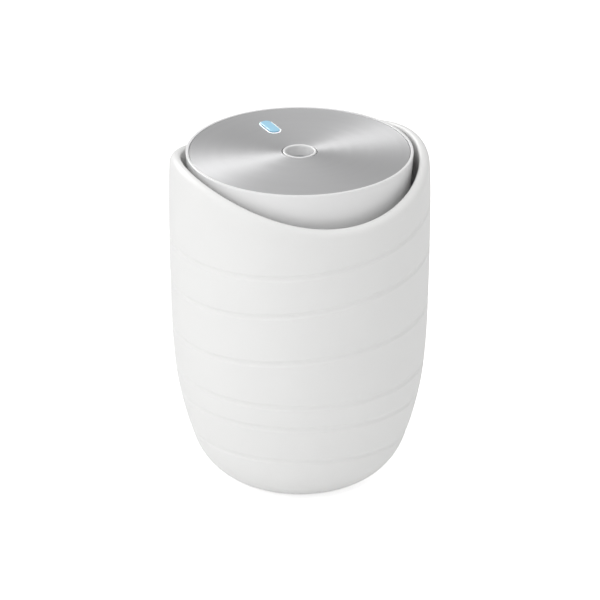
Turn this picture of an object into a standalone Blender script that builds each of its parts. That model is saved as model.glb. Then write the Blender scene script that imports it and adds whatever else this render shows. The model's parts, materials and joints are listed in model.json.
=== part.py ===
"""Essential oil diffuser: a waved barrel shell, a lift-out water tank and an ultrasonic head.

Units are metres and +Z is up. The feet stand on z = 0, the barrel's axis is the Z axis, and
the low lip of the rim, the front, faces -Y. The power socket is at the back, at +Y.
"""

import math

import bmesh
import bpy

# ---------------------------------------------------------------- driving sizes

# Facets round a turned piece, from the largest to the smallest.
ROUND_LARGE = 40
ROUND_MEDIUM = 20
ROUND_SMALL = 12

# Facets over the shell's rim, rows down its inside, and the widest band that needs no middle row.
RIM_STEPS = 6
WALL_LEVELS = 5
WIDE_BAND = 0.0150

# Gap between two pieces that rest on each other, and between a piece and what it slides in.
REST_GAP = 0.0003
SLIDE_GAP = 0.0002

# Outer shell: a flat base, then a chain of arcs, each given as its radius and the angle of the
# wall to the horizontal where it ends.
FOOT_PROUD = 0.0008
BASE_RADIUS = 0.0270
BASE_ANGLE = 20.0
BARREL_ARCS = ((0.0293, 70.0), (0.151, 78.0), (0.121, 84.0), (0.300, 88.0), (1.610, 90.0), (0.210, 100.0))
SHELL_WALL = 0.0046

# Rim: its mean height against the top plate, how far the wave rises and falls round it, how much
# lower the front is than the back, and how far the wave is turned. Its outer edge is rounded widely.
RIM_MEAN = -0.0065
RIM_WAVE = 0.0066
RIM_FRONT_DIP = 0.0009
RIM_TURN = 3.4
RIM_OUTER_WIDTH = 0.0032
RIM_OUTER_HEIGHT = 0.0036

# Grooves, from the lowest: mean height, rise towards +X, and rise towards both sides.
GROOVES = (
    (0.0235, -0.0018, -0.0010),
    (0.0410, -0.0006, -0.0004),
    (0.0528, 0.0012, 0.0002),
    (0.0757, 0.0054, -0.0003),
    (0.0988, 0.0076, 0.0000),
    (0.1170, 0.0084, 0.0015),
)
GROOVE_WIDTH = 0.0030
GROOVE_DEPTH = 0.00045

# Feet, set in from the edge of the flat base.
FOOT_RADIUS = 0.0040
FOOT_SET_IN = 0.0030
FOOT_POCKET = 0.0012

# Ring on the shell's floor that carries the tank, set in from the edge of the flat base.
SEAT_SET_IN = 0.0040
SEAT_WIDTH = 0.0030

# Water tank. It is as wide as the head's lower edge.
TANK_GAP = 0.0020
TANK_WALL = 0.0018

# Head housing. Its ring stands clear of the shell's mouth by the head gap. Heights in the head are
# measured down from the top plate's face.
PLATE_HEIGHT = 0.1462
PLATE_THICKNESS = 0.0010
HEAD_GAP = 0.00175
RING_WIDTH = 0.0013
RING_PROUD = 0.0003
RING_ROUNDING = 0.0005
HOUSING_TAPER = 5.0
HOUSING_DEPTH = 0.0302
HOUSING_WALL = 0.0018
DECK_THICKNESS = 0.0016

# Mist nozzle and what hangs under it.
NOZZLE_BORE = 0.0060
NOZZLE_RADIUS = 0.0071
NOZZLE_PROUD = 0.0003
NOZZLE_FLANGE_MARGIN = 0.0013
NOZZLE_FLANGE_THICKNESS = 0.0015
GASKET_THICKNESS = 0.0014
GASKET_MARGIN = 0.0022
DISC_RADIUS = 0.0080
DISC_THICKNESS = 0.0003
CERAMIC_THICKNESS = 0.0006
WICK_CLEARANCE = 0.0015
RETAINER_WALL = 0.0019
RETAINER_FLOOR = 0.0019
RETAINER_POST_GAP = 0.0011
RETAINER_EAR_RADIUS = 0.0036
LEAD_NOTCH_WIDTH = 0.0070

# Power button, its long way towards the back, its middle set in from the ring's outer edge.
BUTTON_SET_IN = 0.0190
BUTTON_LENGTH = 0.0124
BUTTON_WIDTH = 0.0046
BUTTON_PROUD = 0.00075
BUTTON_FLANGE = 0.0008
BUTTON_FLANGE_THICKNESS = 0.0008
BUTTON_TRAVEL = 0.0005
FRAME_WIDTH = 0.0004
FRAME_PROUD = 0.0001
FRAME_FLANGE = 0.0016
FRAME_FLANGE_THICKNESS = 0.0007

# Control board and the parts on it.
BOARD_DROP = 0.0092
BOARD_THICKNESS = 0.0016
BOARD_CLAMP_GAP = 0.0026
BOARD_POST_GAP = 0.0047
BOARD_EDGE_GAP = 0.0007
FRONT_SCREW_SET_IN = (0.0040, 0.0045)
REAR_SCREW_SET_IN = 0.0049
REAR_SCREW_ANGLE = 21.7
SWITCH_SIDE = 0.0046
SWITCH_HEIGHT = 0.0027
PLUNGER_RADIUS = 0.0012
PLUNGER_BURIED = 0.0014
CHIP_SIZE = (0.0070, 0.0050, 0.0009)
COIL_SIZE = (0.0070, 0.0070, 0.0035)
PARTS_SPREAD = 0.0085
PARTS_FROM_FRONT = 0.0050
LED_SIZE = (0.0016, 0.0012, 0.0008)
LED_FROM_BUTTON = 0.0085
SOCKET_WIDTH = 0.0089
SOCKET_HEIGHT = 0.0032
SOCKET_DEPTH = 0.0073
SOCKET_WALL = 0.0003
SOCKET_RECESS = 0.0003
SOCKET_TONGUE = (0.0066, 0.0045, 0.0007)

# Screws: shank, head, and the pilot hole's size over the shank.
SCREW_RADIUS = 0.0010
SCREW_HEAD_RADIUS = 0.0021
SCREW_HEAD_HEIGHT = 0.0013
SCREW_REACH = 0.0045
SCREW_SLOT_WIDTH = 0.0005
SCREW_SLOT_DEPTH = 0.0006
SCREW_CROWN = 0.8
PILOT_CLEARANCE = 0.0001
THROUGH_CLEARANCE = 0.0004
POST_RADIUS = 0.0030
STANDOFF_RADIUS = 0.0025

# Head base, its spigot in the tank, and the seal.
BASE_PLATE_THICKNESS = 0.0018
BASE_SCREW_CLEARANCE = 0.0020
BASE_SCREW_ANGLES = (0.0, 120.0, 240.0)
UPSTAND_HEIGHT = 0.0025
UPSTAND_WALL = 0.0012
SPIGOT_DEPTH = 0.0064
SPIGOT_WALL = 0.0014
SPIGOT_GAP = 0.0005
SEAL_HEIGHT = 0.0025
SEAL_DEPTH = 0.0014
SEAL_SQUEEZE_GAP = 0.0002
COLLAR_HEIGHT = 0.0062
COLLAR_WALL = 0.0018

# Wick and its holder.
WICK_RADIUS = 0.0037
WICK_GAP = 0.0006
WICK_TUBE_WALL = 0.0010
WICK_TUBE_FLANGE = 0.0085
WICK_TUBE_FLANGE_THICKNESS = 0.0016
WICK_CAP_CLEARANCE = 0.0018
WICK_CAP_THICKNESS = 0.0016
WICK_CAP_PLUG = 0.0020
INTAKE_WIDTH = 0.0030
INTAKE_LENGTH = 0.0160
SPRING_LENGTH = 0.0100
SPRING_TURNS = 5
SPRING_WIRE = 0.0003

# Piezo leads.
LEAD_RADIUS = 0.00035
LEAD_SPREAD = 0.0020
LEAD_ON_BOARD = 0.0030
LEAD_EDGE = 0.0005
LEAD_DROP = 0.0010

# How far a cutter or a joined piece runs past the face it meets.
OVERRUN = 0.0010

# ---------------------------------------------------------------- the barrel's wall

BARREL_START = (BASE_RADIUS, FOOT_PROUD)


def barrel_arcs(inset):
    """Yields each arc of the barrel's wall, moved inwards: its start (r, z), radius, and two angles."""
    start = math.radians(BASE_ANGLE)
    radius_at = BARREL_START[0] - inset * math.sin(start)
    height_at = BARREL_START[1] + inset * math.cos(start)
    for arc_radius, end_degrees in BARREL_ARCS:
        bend = arc_radius - inset
        end = math.radians(end_degrees)
        yield radius_at, height_at, bend, start, end
        radius_at += bend * (math.sin(end) - math.sin(start))
        height_at += bend * (math.cos(start) - math.cos(end))
        start = end


def barrel_radius(height, inset=0.0):
    """The wall's radius at a height, for the wall moved inwards by inset."""
    radius = 0.0
    for radius_at, height_at, bend, start, end in barrel_arcs(inset):
        if height < height_at:
            break
        cosine = math.cos(start) - (height - height_at) / bend
        angle = math.acos(max(-1.0, cosine))
        radius = radius_at + bend * (math.sin(min(angle, end)) - math.sin(start))
    return radius


# ---------------------------------------------------------------- sizes that follow

FOOT_CIRCLE = BASE_RADIUS - FOOT_SET_IN - FOOT_RADIUS
SEAT_RADIUS = BASE_RADIUS - SEAT_SET_IN - SEAT_WIDTH / 2
RING_RADIUS = barrel_radius(PLATE_HEIGHT, SHELL_WALL) - HEAD_GAP
RIM_INNER_ROUND = SHELL_WALL - RIM_OUTER_WIDTH
RING_TOP = PLATE_HEIGHT + RING_PROUD
RECESS_RADIUS = RING_RADIUS - RING_WIDTH
PLATE_RADIUS = RECESS_RADIUS - SLIDE_GAP
DECK_TOP = PLATE_HEIGHT - PLATE_THICKNESS - REST_GAP
DECK_BOTTOM = DECK_TOP - DECK_THICKNESS
HOUSING_BOTTOM = PLATE_HEIGHT - HOUSING_DEPTH
TAPER = math.tan(math.radians(HOUSING_TAPER))
NOZZLE_HOLE = NOZZLE_RADIUS + SLIDE_GAP


def housing_radius(height):
    """The housing's outer radius, which narrows downwards."""
    return RING_RADIUS - (RING_TOP - RING_ROUNDING - height) * TAPER


HOUSING_FOOT = housing_radius(HOUSING_BOTTOM)

GASKET_BORE = NOZZLE_BORE + REST_GAP
GASKET_RADIUS = DISC_RADIUS + GASKET_MARGIN
NOZZLE_FLANGE = GASKET_RADIUS + NOZZLE_FLANGE_MARGIN
CERAMIC_BORE = WICK_RADIUS + WICK_CLEARANCE
RETAINER_BORE = CERAMIC_BORE + 2 * SLIDE_GAP

NOZZLE_FLANGE_TOP = DECK_BOTTOM - REST_GAP
NOZZLE_BOTTOM = NOZZLE_FLANGE_TOP - NOZZLE_FLANGE_THICKNESS
UPPER_GASKET_TOP = NOZZLE_BOTTOM - REST_GAP
DISC_TOP = UPPER_GASKET_TOP - GASKET_THICKNESS - REST_GAP
CERAMIC_TOP = DISC_TOP - DISC_THICKNESS - REST_GAP
LOWER_GASKET_TOP = CERAMIC_TOP - CERAMIC_THICKNESS - REST_GAP
RETAINER_FLOOR_TOP = LOWER_GASKET_TOP - GASKET_THICKNESS - REST_GAP
RETAINER_BOTTOM = RETAINER_FLOOR_TOP - RETAINER_FLOOR
RETAINER_INNER = GASKET_RADIUS + REST_GAP
RETAINER_OUTER = RETAINER_INNER + RETAINER_WALL
RETAINER_EAR_CENTRE = RETAINER_OUTER + RETAINER_POST_GAP + POST_RADIUS

BOARD_TOP = PLATE_HEIGHT - BOARD_DROP
BOARD_BOTTOM = BOARD_TOP - BOARD_THICKNESS
ON_BOARD = BOARD_TOP + REST_GAP
FRAME_FLANGE_TOP = DECK_BOTTOM - REST_GAP
FRAME_BOTTOM = FRAME_FLANGE_TOP - FRAME_FLANGE_THICKNESS
BUTTON_FLANGE_TOP = FRAME_BOTTOM - REST_GAP
BUTTON_BOTTOM = BUTTON_FLANGE_TOP - BUTTON_FLANGE_THICKNESS
SWITCH_TOP = ON_BOARD + SWITCH_HEIGHT
FRAME_INNER = SLIDE_GAP
FRAME_OUTER = SLIDE_GAP + FRAME_WIDTH
FRAME_HOLE = FRAME_OUTER + SLIDE_GAP

BASE_PLATE_TOP = HOUSING_BOTTOM - REST_GAP
BASE_PLATE_BOTTOM = BASE_PLATE_TOP - BASE_PLATE_THICKNESS
TANK_TOP = BASE_PLATE_BOTTOM - REST_GAP
TANK_INNER = HOUSING_FOOT - TANK_WALL
SPIGOT_RADIUS = TANK_INNER - SPIGOT_GAP
SEAL_GROOVE_RADIUS = SPIGOT_RADIUS - SEAL_DEPTH
SPIGOT_INNER = SEAL_GROOVE_RADIUS - REST_GAP - SPIGOT_WALL
SPIGOT_BOTTOM = BASE_PLATE_BOTTOM - SPIGOT_DEPTH
SEAL_GROOVE_BOTTOM = SPIGOT_BOTTOM + (SPIGOT_DEPTH - SEAL_HEIGHT) / 2 - REST_GAP
SEAL_GROOVE_TOP = SEAL_GROOVE_BOTTOM + SEAL_HEIGHT + 2 * REST_GAP

WICK_TUBE_INNER = WICK_RADIUS + WICK_GAP
WICK_TUBE_OUTER = WICK_TUBE_INNER + WICK_TUBE_WALL
WICK_HOLE = WICK_TUBE_OUTER + REST_GAP
WICK_TUBE_FLANGE_TOP = BASE_PLATE_BOTTOM - REST_GAP
COLLAR_TOP = BASE_PLATE_TOP + COLLAR_HEIGHT
WICK_TOP = DISC_TOP - DISC_THICKNESS - REST_GAP

BASE_SCREW_CIRCLE = SPIGOT_INNER - BASE_SCREW_CLEARANCE - SCREW_HEAD_RADIUS
BOARD_FRONT = RETAINER_OUTER + BOARD_CLAMP_GAP
BOARD_RADIUS = housing_radius(BOARD_BOTTOM) - HOUSING_WALL - BOARD_EDGE_GAP
BOARD_HALF_WIDTH = (
    BASE_SCREW_CIRCLE * math.sin(math.radians(BASE_SCREW_ANGLES[1])) - POST_RADIUS - BOARD_POST_GAP
)
BUTTON_CENTRE = RING_RADIUS - BUTTON_SET_IN


# ---------------------------------------------------------------- helpers


def base_turn(inset, steps):
    """Points (r, z) round the arc that joins the flat base to the wall, from the bottom."""
    radius_at, height_at, bend, start, end = next(barrel_arcs(inset))
    points = []
    for step in range(steps + 1):
        angle = start + (end - start) * step / steps
        radius = radius_at + bend * (math.sin(angle) - math.sin(start))
        points.append((radius, height_at + bend * (math.cos(start) - math.cos(angle))))
    return points


def height_where(radius, inset):
    """The height at which the wall, moved inwards by inset, first reaches a radius."""
    low, high = BARREL_START[1] + inset, PLATE_HEIGHT
    for _ in range(40):
        middle = (low + high) / 2
        if barrel_radius(middle, inset) < radius:
            low = middle
        else:
            high = middle
    return high


def rim_height(angle):
    """The rim's ridge at an angle counted from the front."""
    wave = RIM_WAVE * math.cos(2 * (angle + math.radians(RIM_TURN)))
    return PLATE_HEIGHT + RIM_MEAN - wave - RIM_FRONT_DIP * math.cos(angle)


def board_screws():
    """Plan places of the board's screws: two near its front corners, two near its back edge."""
    front = (BOARD_HALF_WIDTH - FRONT_SCREW_SET_IN[0], BOARD_FRONT + FRONT_SCREW_SET_IN[1])
    angle, radius = math.radians(REAR_SCREW_ANGLE), BOARD_RADIUS - REAR_SCREW_SET_IN
    rear = (radius * math.sin(angle), radius * math.cos(angle))
    return [(side * x, y) for x, y in (front, rear) for side in (-1, 1)]


def clear_scene():
    """Removes whatever the file starts with."""
    for item in list(bpy.data.objects):
        bpy.data.objects.remove(item, do_unlink=True)


def finish(name, colour, roughness, metallic=0.0):
    """A plain Principled material."""
    material = bpy.data.materials.new(name)
    material.use_nodes = True
    shader = material.node_tree.nodes["Principled BSDF"]
    shader.inputs["Base Color"].default_value = (*colour, 1.0)
    shader.inputs["Roughness"].default_value = roughness
    shader.inputs["Metallic"].default_value = metallic
    return material


def group(name, y=0.0):
    """An empty that carries the pieces which move together."""
    empty = bpy.data.objects.new(name, None)
    empty.location = (0.0, y, 0.0)
    bpy.context.scene.collection.objects.link(empty)
    return empty


def add_loft(mesh, loops, closed=False):
    """Adds faces through loops of points. A loop of one point is a pole; closed joins last to first."""
    rings = [[mesh.verts.new(point) for point in loop] for loop in loops]
    pairs = list(zip(rings, rings[1:]))
    if closed:
        pairs.append((rings[-1], rings[0]))
    for first, second in pairs:
        count = max(len(first), len(second))
        for here in range(count):
            after = (here + 1) % count
            corners = [first[here % len(first)], first[after % len(first)]]
            corners += [second[after % len(second)], second[here % len(second)]]
            mesh.faces.new(list(dict.fromkeys(corners)))
    if not closed:
        for ring in (rings[0], rings[-1]):
            if len(ring) > 1:
                mesh.faces.new(ring)


def circle(radius, height, count, x=0.0, y=0.0, turn=0.0):
    """Points round a circle, counted from the front towards +X; one point where the radius is zero."""
    if radius == 0.0:
        return [(x, y, height)]
    steps = [2 * math.pi * (step + turn) / count for step in range(count)]
    return [(x + radius * math.sin(a), y - radius * math.cos(a), height) for a in steps]


def stadium(length, width, height, grow=0.0, y=0.0):
    """Points round an oblong with round ends, its long way along Y, grown outwards."""
    half = (length - width) / 2
    radius = width / 2 + grow
    # An odd number of facets keeps the end's corners off the facet line in the deck behind it.
    per_end = ROUND_MEDIUM // 2 - 1
    points = []
    for end, turn in ((half, 0.0), (-half, math.pi)):
        for step in range(per_end + 1):
            angle = turn + math.pi * step / per_end
            points.append((radius * math.cos(angle), y + end + radius * math.sin(angle), height))
    return points


def place_object(name, mesh, material, parent):
    """Makes an object of a bmesh, with its faces pointing out, and shades its round parts smooth."""
    bmesh.ops.recalc_face_normals(mesh, faces=mesh.faces)
    data = bpy.data.meshes.new(name)
    mesh.to_mesh(data)
    mesh.free()
    item = bpy.data.objects.new(name, data)
    bpy.context.scene.collection.objects.link(item)
    if material:
        data.materials.append(material)
        data.shade_smooth()
        data.set_sharp_from_angle(angle=math.radians(35))
    if parent:
        item.parent = parent
        item.location = [-value for value in parent.location]
    return item


def loft(name, loops, material=None, parent=None, closed=False):
    """An object of faces through loops of points."""
    mesh = bmesh.new()
    add_loft(mesh, loops, closed)
    return place_object(name, mesh, material, parent)


def turned(name, profile, material=None, parent=None, count=ROUND_MEDIUM, x=0.0, y=0.0):
    """Turns (r, z) points round an upright axis. A profile that starts off the axis is closed on itself."""
    loops = [circle(radius, height, count, x, y) for radius, height in profile]
    return loft(name, loops, material, parent, closed=len(loops[0]) > 1)


def block_loops(low, high):
    """The lower and upper loop of a block."""
    corners = [(low[0], low[1]), (high[0], low[1]), (high[0], high[1]), (low[0], high[1])]
    return [[(x, y, z) for x, y in corners] for z in (low[2], high[2])]


def block(name, low, high, material=None, parent=None):
    """A block between two corners."""
    return loft(name, block_loops(low, high), material, parent)


def block_at(name, size, place, bottom, material, parent):
    """A block centred on a place in plan, standing at a height."""
    low = (place[0] - size[0] / 2, place[1] - size[1] / 2, bottom)
    high = (place[0] + size[0] / 2, place[1] + size[1] / 2, bottom + size[2])
    return block(name, low, high, material, parent)


def combine(piece, tool, operation):
    """Cuts a helper from a piece, or joins it on, and keeps the helper out of the render."""
    change = piece.modifiers.new(tool.name, "BOOLEAN")
    change.operation = operation
    change.object = tool
    change.solver = "EXACT"
    tool.hide_render = True
    tool.display_type = "WIRE"


def cut(piece, tool):
    combine(piece, tool, "DIFFERENCE")


def join(piece, tool):
    combine(piece, tool, "UNION")


def tube(name, points, radius, material, parent):
    """A round wire or lead along points."""
    curve = bpy.data.curves.new(name, "CURVE")
    curve.dimensions = "3D"
    curve.bevel_depth = radius
    curve.bevel_resolution = 2
    curve.use_fill_caps = True
    spline = curve.splines.new("POLY")
    spline.points.add(len(points) - 1)
    for target, point in zip(spline.points, points):
        target.co = (*point, 1.0)
    curve.materials.append(material)
    item = bpy.data.objects.new(name, curve)
    bpy.context.scene.collection.objects.link(item)
    item.parent = parent
    return item


def eased(points, times):
    """Rounds the corners of a path by cutting them, keeping its ends."""
    for _ in range(times):
        softer = [points[0]]
        for here, after in zip(points, points[1:]):
            softer.append(tuple(a * 0.75 + b * 0.25 for a, b in zip(here, after)))
            softer.append(tuple(a * 0.25 + b * 0.75 for a, b in zip(here, after)))
        points = softer + [points[-1]]
    return points


# ---------------------------------------------------------------- shell


def shell_stations():
    """The shell's section from the middle of its underside, up the outside, over the rim and down inside.

    Each station gives a radius and a height for an angle counted from the front.
    """

    def fixed(radius, height):
        return lambda angle: (radius, height)

    def groove_height(groove, angle):
        height, rise, sides = groove
        return height + rise * math.sin(angle) - sides * math.cos(2 * angle)

    def groove_line(groove, offset, depth):
        def station(angle):
            height = groove_height(groove, angle) + offset
            return barrel_radius(height) - depth, height

        return station

    def between(lower, upper):
        def station(angle):
            height = (lower(angle) + upper(angle)) / 2
            return barrel_radius(height), height

        return station

    def rim_foot(angle):
        return rim_height(angle) - RIM_OUTER_HEIGHT

    def rim_point(turn):
        across, up = (RIM_OUTER_WIDTH, RIM_OUTER_HEIGHT)
        if turn > math.pi / 2:
            across, up = (RIM_INNER_ROUND, RIM_INNER_ROUND)

        def station(angle):
            ridge = barrel_radius(rim_foot(angle)) - RIM_OUTER_WIDTH
            return ridge + across * math.cos(turn), rim_height(angle) - up + up * math.sin(turn)

        return station

    stations = [fixed(0.0, FOOT_PROUD)]
    stations += [fixed(radius, height) for radius, height in base_turn(0.0, 4)]
    lines = [lambda angle, g=groove: groove_height(g, angle) for groove in GROOVES]
    for groove, line, following in zip(GROOVES, lines, lines[1:] + [rim_foot]):
        stations.append(groove_line(groove, -GROOVE_WIDTH / 2, 0.0))
        stations.append(groove_line(groove, 0.0, GROOVE_DEPTH))
        stations.append(groove_line(groove, GROOVE_WIDTH / 2, 0.0))
        if following(0.0) - line(0.0) > WIDE_BAND:
            stations.append(between(line, following))
    stations += [rim_point(math.pi * step / RIM_STEPS) for step in range(RIM_STEPS + 1)]

    inner_turn = base_turn(SHELL_WALL, 4)
    wall_foot = inner_turn[-1][1]
    inner_top = PLATE_HEIGHT + RIM_MEAN - RIM_WAVE - RIM_FRONT_DIP - SHELL_WALL
    for level in range(WALL_LEVELS):
        height = inner_top + (wall_foot - inner_top) * level / WALL_LEVELS
        stations.append(fixed(barrel_radius(height, SHELL_WALL), height))
    stations += [fixed(radius, height) for radius, height in reversed(inner_turn)]
    floor = inner_turn[0][1]
    seat_top = base_turn(SHELL_WALL + TANK_GAP, 1)[0][1] - REST_GAP
    outer = SEAT_RADIUS + SEAT_WIDTH / 2
    inner = SEAT_RADIUS - SEAT_WIDTH / 2
    stations += [fixed(outer, floor), fixed(outer, seat_top), fixed(inner, seat_top), fixed(inner, floor)]
    return stations + [fixed(0.0, floor)]


def make_shell(parent):
    """The barrel shell and the four feet in its underside."""
    white = finish("shell_white", (0.84, 0.84, 0.83), 0.55)
    rubber = finish("foot_rubber", (0.05, 0.05, 0.05), 0.85)
    loops = []
    for station in shell_stations():
        steps = [2 * math.pi * step / ROUND_LARGE for step in range(ROUND_LARGE)]
        section = [station(angle) for angle in steps]
        if section[0][0] == 0.0:
            loops.append([(0.0, 0.0, section[0][1])])
        else:
            loops.append([(r * math.sin(a), -r * math.cos(a), z) for a, (r, z) in zip(steps, section)])
    shell = loft("outer_shell", loops, white, parent)

    pockets = bmesh.new()
    pocket_top = FOOT_PROUD + FOOT_POCKET
    for number in range(4):
        angle = math.radians(45 + 90 * number)
        x, y = FOOT_CIRCLE * math.sin(angle), -FOOT_CIRCLE * math.cos(angle)
        wall = FOOT_RADIUS + REST_GAP
        ends = (FOOT_PROUD - OVERRUN, pocket_top)
        add_loft(pockets, [circle(wall, height, ROUND_SMALL, x, y) for height in ends])
        chamfer = FOOT_PROUD / 2
        foot = [(0.0, pocket_top - REST_GAP), (FOOT_RADIUS, pocket_top - REST_GAP)]
        foot += [(FOOT_RADIUS, chamfer), (FOOT_RADIUS - chamfer, 0.0), (0.0, 0.0)]
        turned(f"foot_{number + 1}", foot, rubber, parent, ROUND_SMALL, x, y)
    cut(shell, place_object("foot_pockets", pockets, None, parent))


# ---------------------------------------------------------------- tank


def make_tank(parent):
    """The water tank: a cup that follows the shell's inside, then goes straight up."""
    clear = finish("tank_plastic", (0.80, 0.82, 0.83), 0.30)
    outside = SHELL_WALL + TANK_GAP
    inside = outside + TANK_WALL
    steps = 4

    def wall(inset, radius):
        points = base_turn(inset, steps)
        top = height_where(radius, inset)
        foot = points[-1][1]
        levels = [foot + (top - foot) * share / 3 for share in (1, 2)]
        points += [(barrel_radius(level, inset), level) for level in levels]
        return points + [(radius, top), (radius, TANK_TOP)]

    outer = wall(outside, HOUSING_FOOT)
    inner = wall(inside, TANK_INNER)
    profile = [(0.0, outer[0][1])] + outer + inner[::-1] + [(0.0, inner[0][1])]
    turned("water_tank", profile, clear, parent, ROUND_LARGE)


# ---------------------------------------------------------------- head


def post_positions():
    """Plan places of the posts under the deck, with each post's radius and lower end."""
    posts = []
    for degrees in BASE_SCREW_ANGLES:
        angle = math.radians(degrees)
        x, y = BASE_SCREW_CIRCLE * math.sin(angle), -BASE_SCREW_CIRCLE * math.cos(angle)
        posts.append(("base_screw", x, y, POST_RADIUS, BASE_PLATE_TOP, BASE_PLATE_BOTTOM))
    for x, y in board_screws():
        posts.append(("board_screw", x, y, STANDOFF_RADIUS, BOARD_TOP, BOARD_BOTTOM))
    for x in (-RETAINER_EAR_CENTRE, RETAINER_EAR_CENTRE):
        posts.append(("retainer_screw", x, 0.0, POST_RADIUS, RETAINER_FLOOR_TOP, RETAINER_BOTTOM))
    return posts


def make_housing(parent, white):
    """The head's white can: ring, deck, tapered side, screw posts, and the openings in it."""
    inner_bottom = HOUSING_FOOT - HOUSING_WALL
    inner_top = housing_radius(DECK_BOTTOM) - HOUSING_WALL
    edge = RING_ROUNDING
    profile = [
        (NOZZLE_HOLE, DECK_TOP),
        (RECESS_RADIUS, DECK_TOP),
        (RECESS_RADIUS, RING_TOP - edge / 2),
        (RECESS_RADIUS + edge / 2, RING_TOP),
        (RING_RADIUS - edge, RING_TOP),
        (RING_RADIUS - edge / 4, RING_TOP - edge / 4),
        (RING_RADIUS, RING_TOP - edge),
        (HOUSING_FOOT, HOUSING_BOTTOM),
        (inner_bottom, HOUSING_BOTTOM),
        (inner_top, DECK_BOTTOM),
        (NOZZLE_HOLE, DECK_BOTTOM),
    ]
    housing = turned("head_housing", profile, white, parent, ROUND_LARGE)

    posts = bmesh.new()
    for _, x, y, radius, rests_on, _ in post_positions():
        bottom = rests_on + REST_GAP
        pilot = SCREW_RADIUS + PILOT_CLEARANCE
        pilot_top = min(bottom + SCREW_REACH, DECK_TOP - OVERRUN)
        top = DECK_BOTTOM + DECK_THICKNESS / 2
        section = [(0.0, top), (radius, top), (radius, bottom), (pilot, bottom), (pilot, pilot_top)]
        section.append((0.0, pilot_top))
        # A third of a facet's turn keeps the posts' edges off the deck's own facet lines.
        add_loft(posts, [circle(r, z, ROUND_SMALL, x, y, 1 / 3) for r, z in section])
    join(housing, place_object("posts", posts, None, parent))

    ends = (DECK_BOTTOM - OVERRUN, DECK_TOP + OVERRUN)
    hole = [stadium(BUTTON_LENGTH, BUTTON_WIDTH, z, FRAME_HOLE, BUTTON_CENTRE) for z in ends]
    cut(housing, loft("deck_button_hole", hole, None, parent))

    half_width = SOCKET_WIDTH / 2 + REST_GAP
    low = (-half_width, inner_bottom - OVERRUN, ON_BOARD - REST_GAP)
    high = (half_width, RING_RADIUS + OVERRUN, ON_BOARD + SOCKET_HEIGHT + REST_GAP)
    cut(housing, block("socket_slot", low, high, None, parent))


def make_plate(parent):
    """The spun aluminium disc with its nozzle hole and button hole."""
    aluminium = finish("spun_aluminium", (0.62, 0.62, 0.62), 0.30, 1.0)
    bottom = PLATE_HEIGHT - PLATE_THICKNESS
    profile = [(NOZZLE_HOLE, PLATE_HEIGHT), (PLATE_RADIUS, PLATE_HEIGHT)]
    profile += [(PLATE_RADIUS, bottom), (NOZZLE_HOLE, bottom)]
    plate = turned("top_plate", profile, aluminium, parent, ROUND_LARGE)
    ends = (bottom - OVERRUN, PLATE_HEIGHT + OVERRUN)
    hole = [stadium(BUTTON_LENGTH, BUTTON_WIDTH, z, FRAME_HOLE, BUTTON_CENTRE) for z in ends]
    cut(plate, loft("plate_button_hole", hole, None, parent))


def make_nozzle(parent, white):
    """The mist nozzle with the flange that holds it under the deck."""
    top = PLATE_HEIGHT + NOZZLE_PROUD
    lip = (NOZZLE_RADIUS - NOZZLE_BORE) / 3
    profile = [
        (NOZZLE_BORE, top - lip),
        (NOZZLE_BORE + lip, top),
        (NOZZLE_RADIUS - lip, top),
        (NOZZLE_RADIUS, top - lip),
        (NOZZLE_RADIUS, NOZZLE_FLANGE_TOP),
        (NOZZLE_FLANGE, NOZZLE_FLANGE_TOP),
        (NOZZLE_FLANGE, NOZZLE_BOTTOM),
        (NOZZLE_BORE, NOZZLE_BOTTOM),
    ]
    turned("nozzle", profile, white, parent)


def washer(name, bore, radius, top, thickness, material, parent):
    """A flat ring."""
    profile = [(bore, top), (radius, top), (radius, top - thickness), (bore, top - thickness)]
    turned(name, profile, material, parent)


def ear_outline(side, height):
    """A screw ear: a half circle round the screw, with straight sides that run into the clamp's wall."""
    inner = RETAINER_OUTER - RETAINER_WALL / 2
    points = [(side * inner, -side * RETAINER_EAR_RADIUS, height)]
    for step in range(ROUND_SMALL // 2 + 1):
        angle = 2 * math.pi * step / ROUND_SMALL - math.pi / 2
        x = RETAINER_EAR_CENTRE + RETAINER_EAR_RADIUS * math.cos(angle)
        points.append((side * x, side * RETAINER_EAR_RADIUS * math.sin(angle), height))
    return points + [(side * inner, side * RETAINER_EAR_RADIUS, height)]


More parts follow.
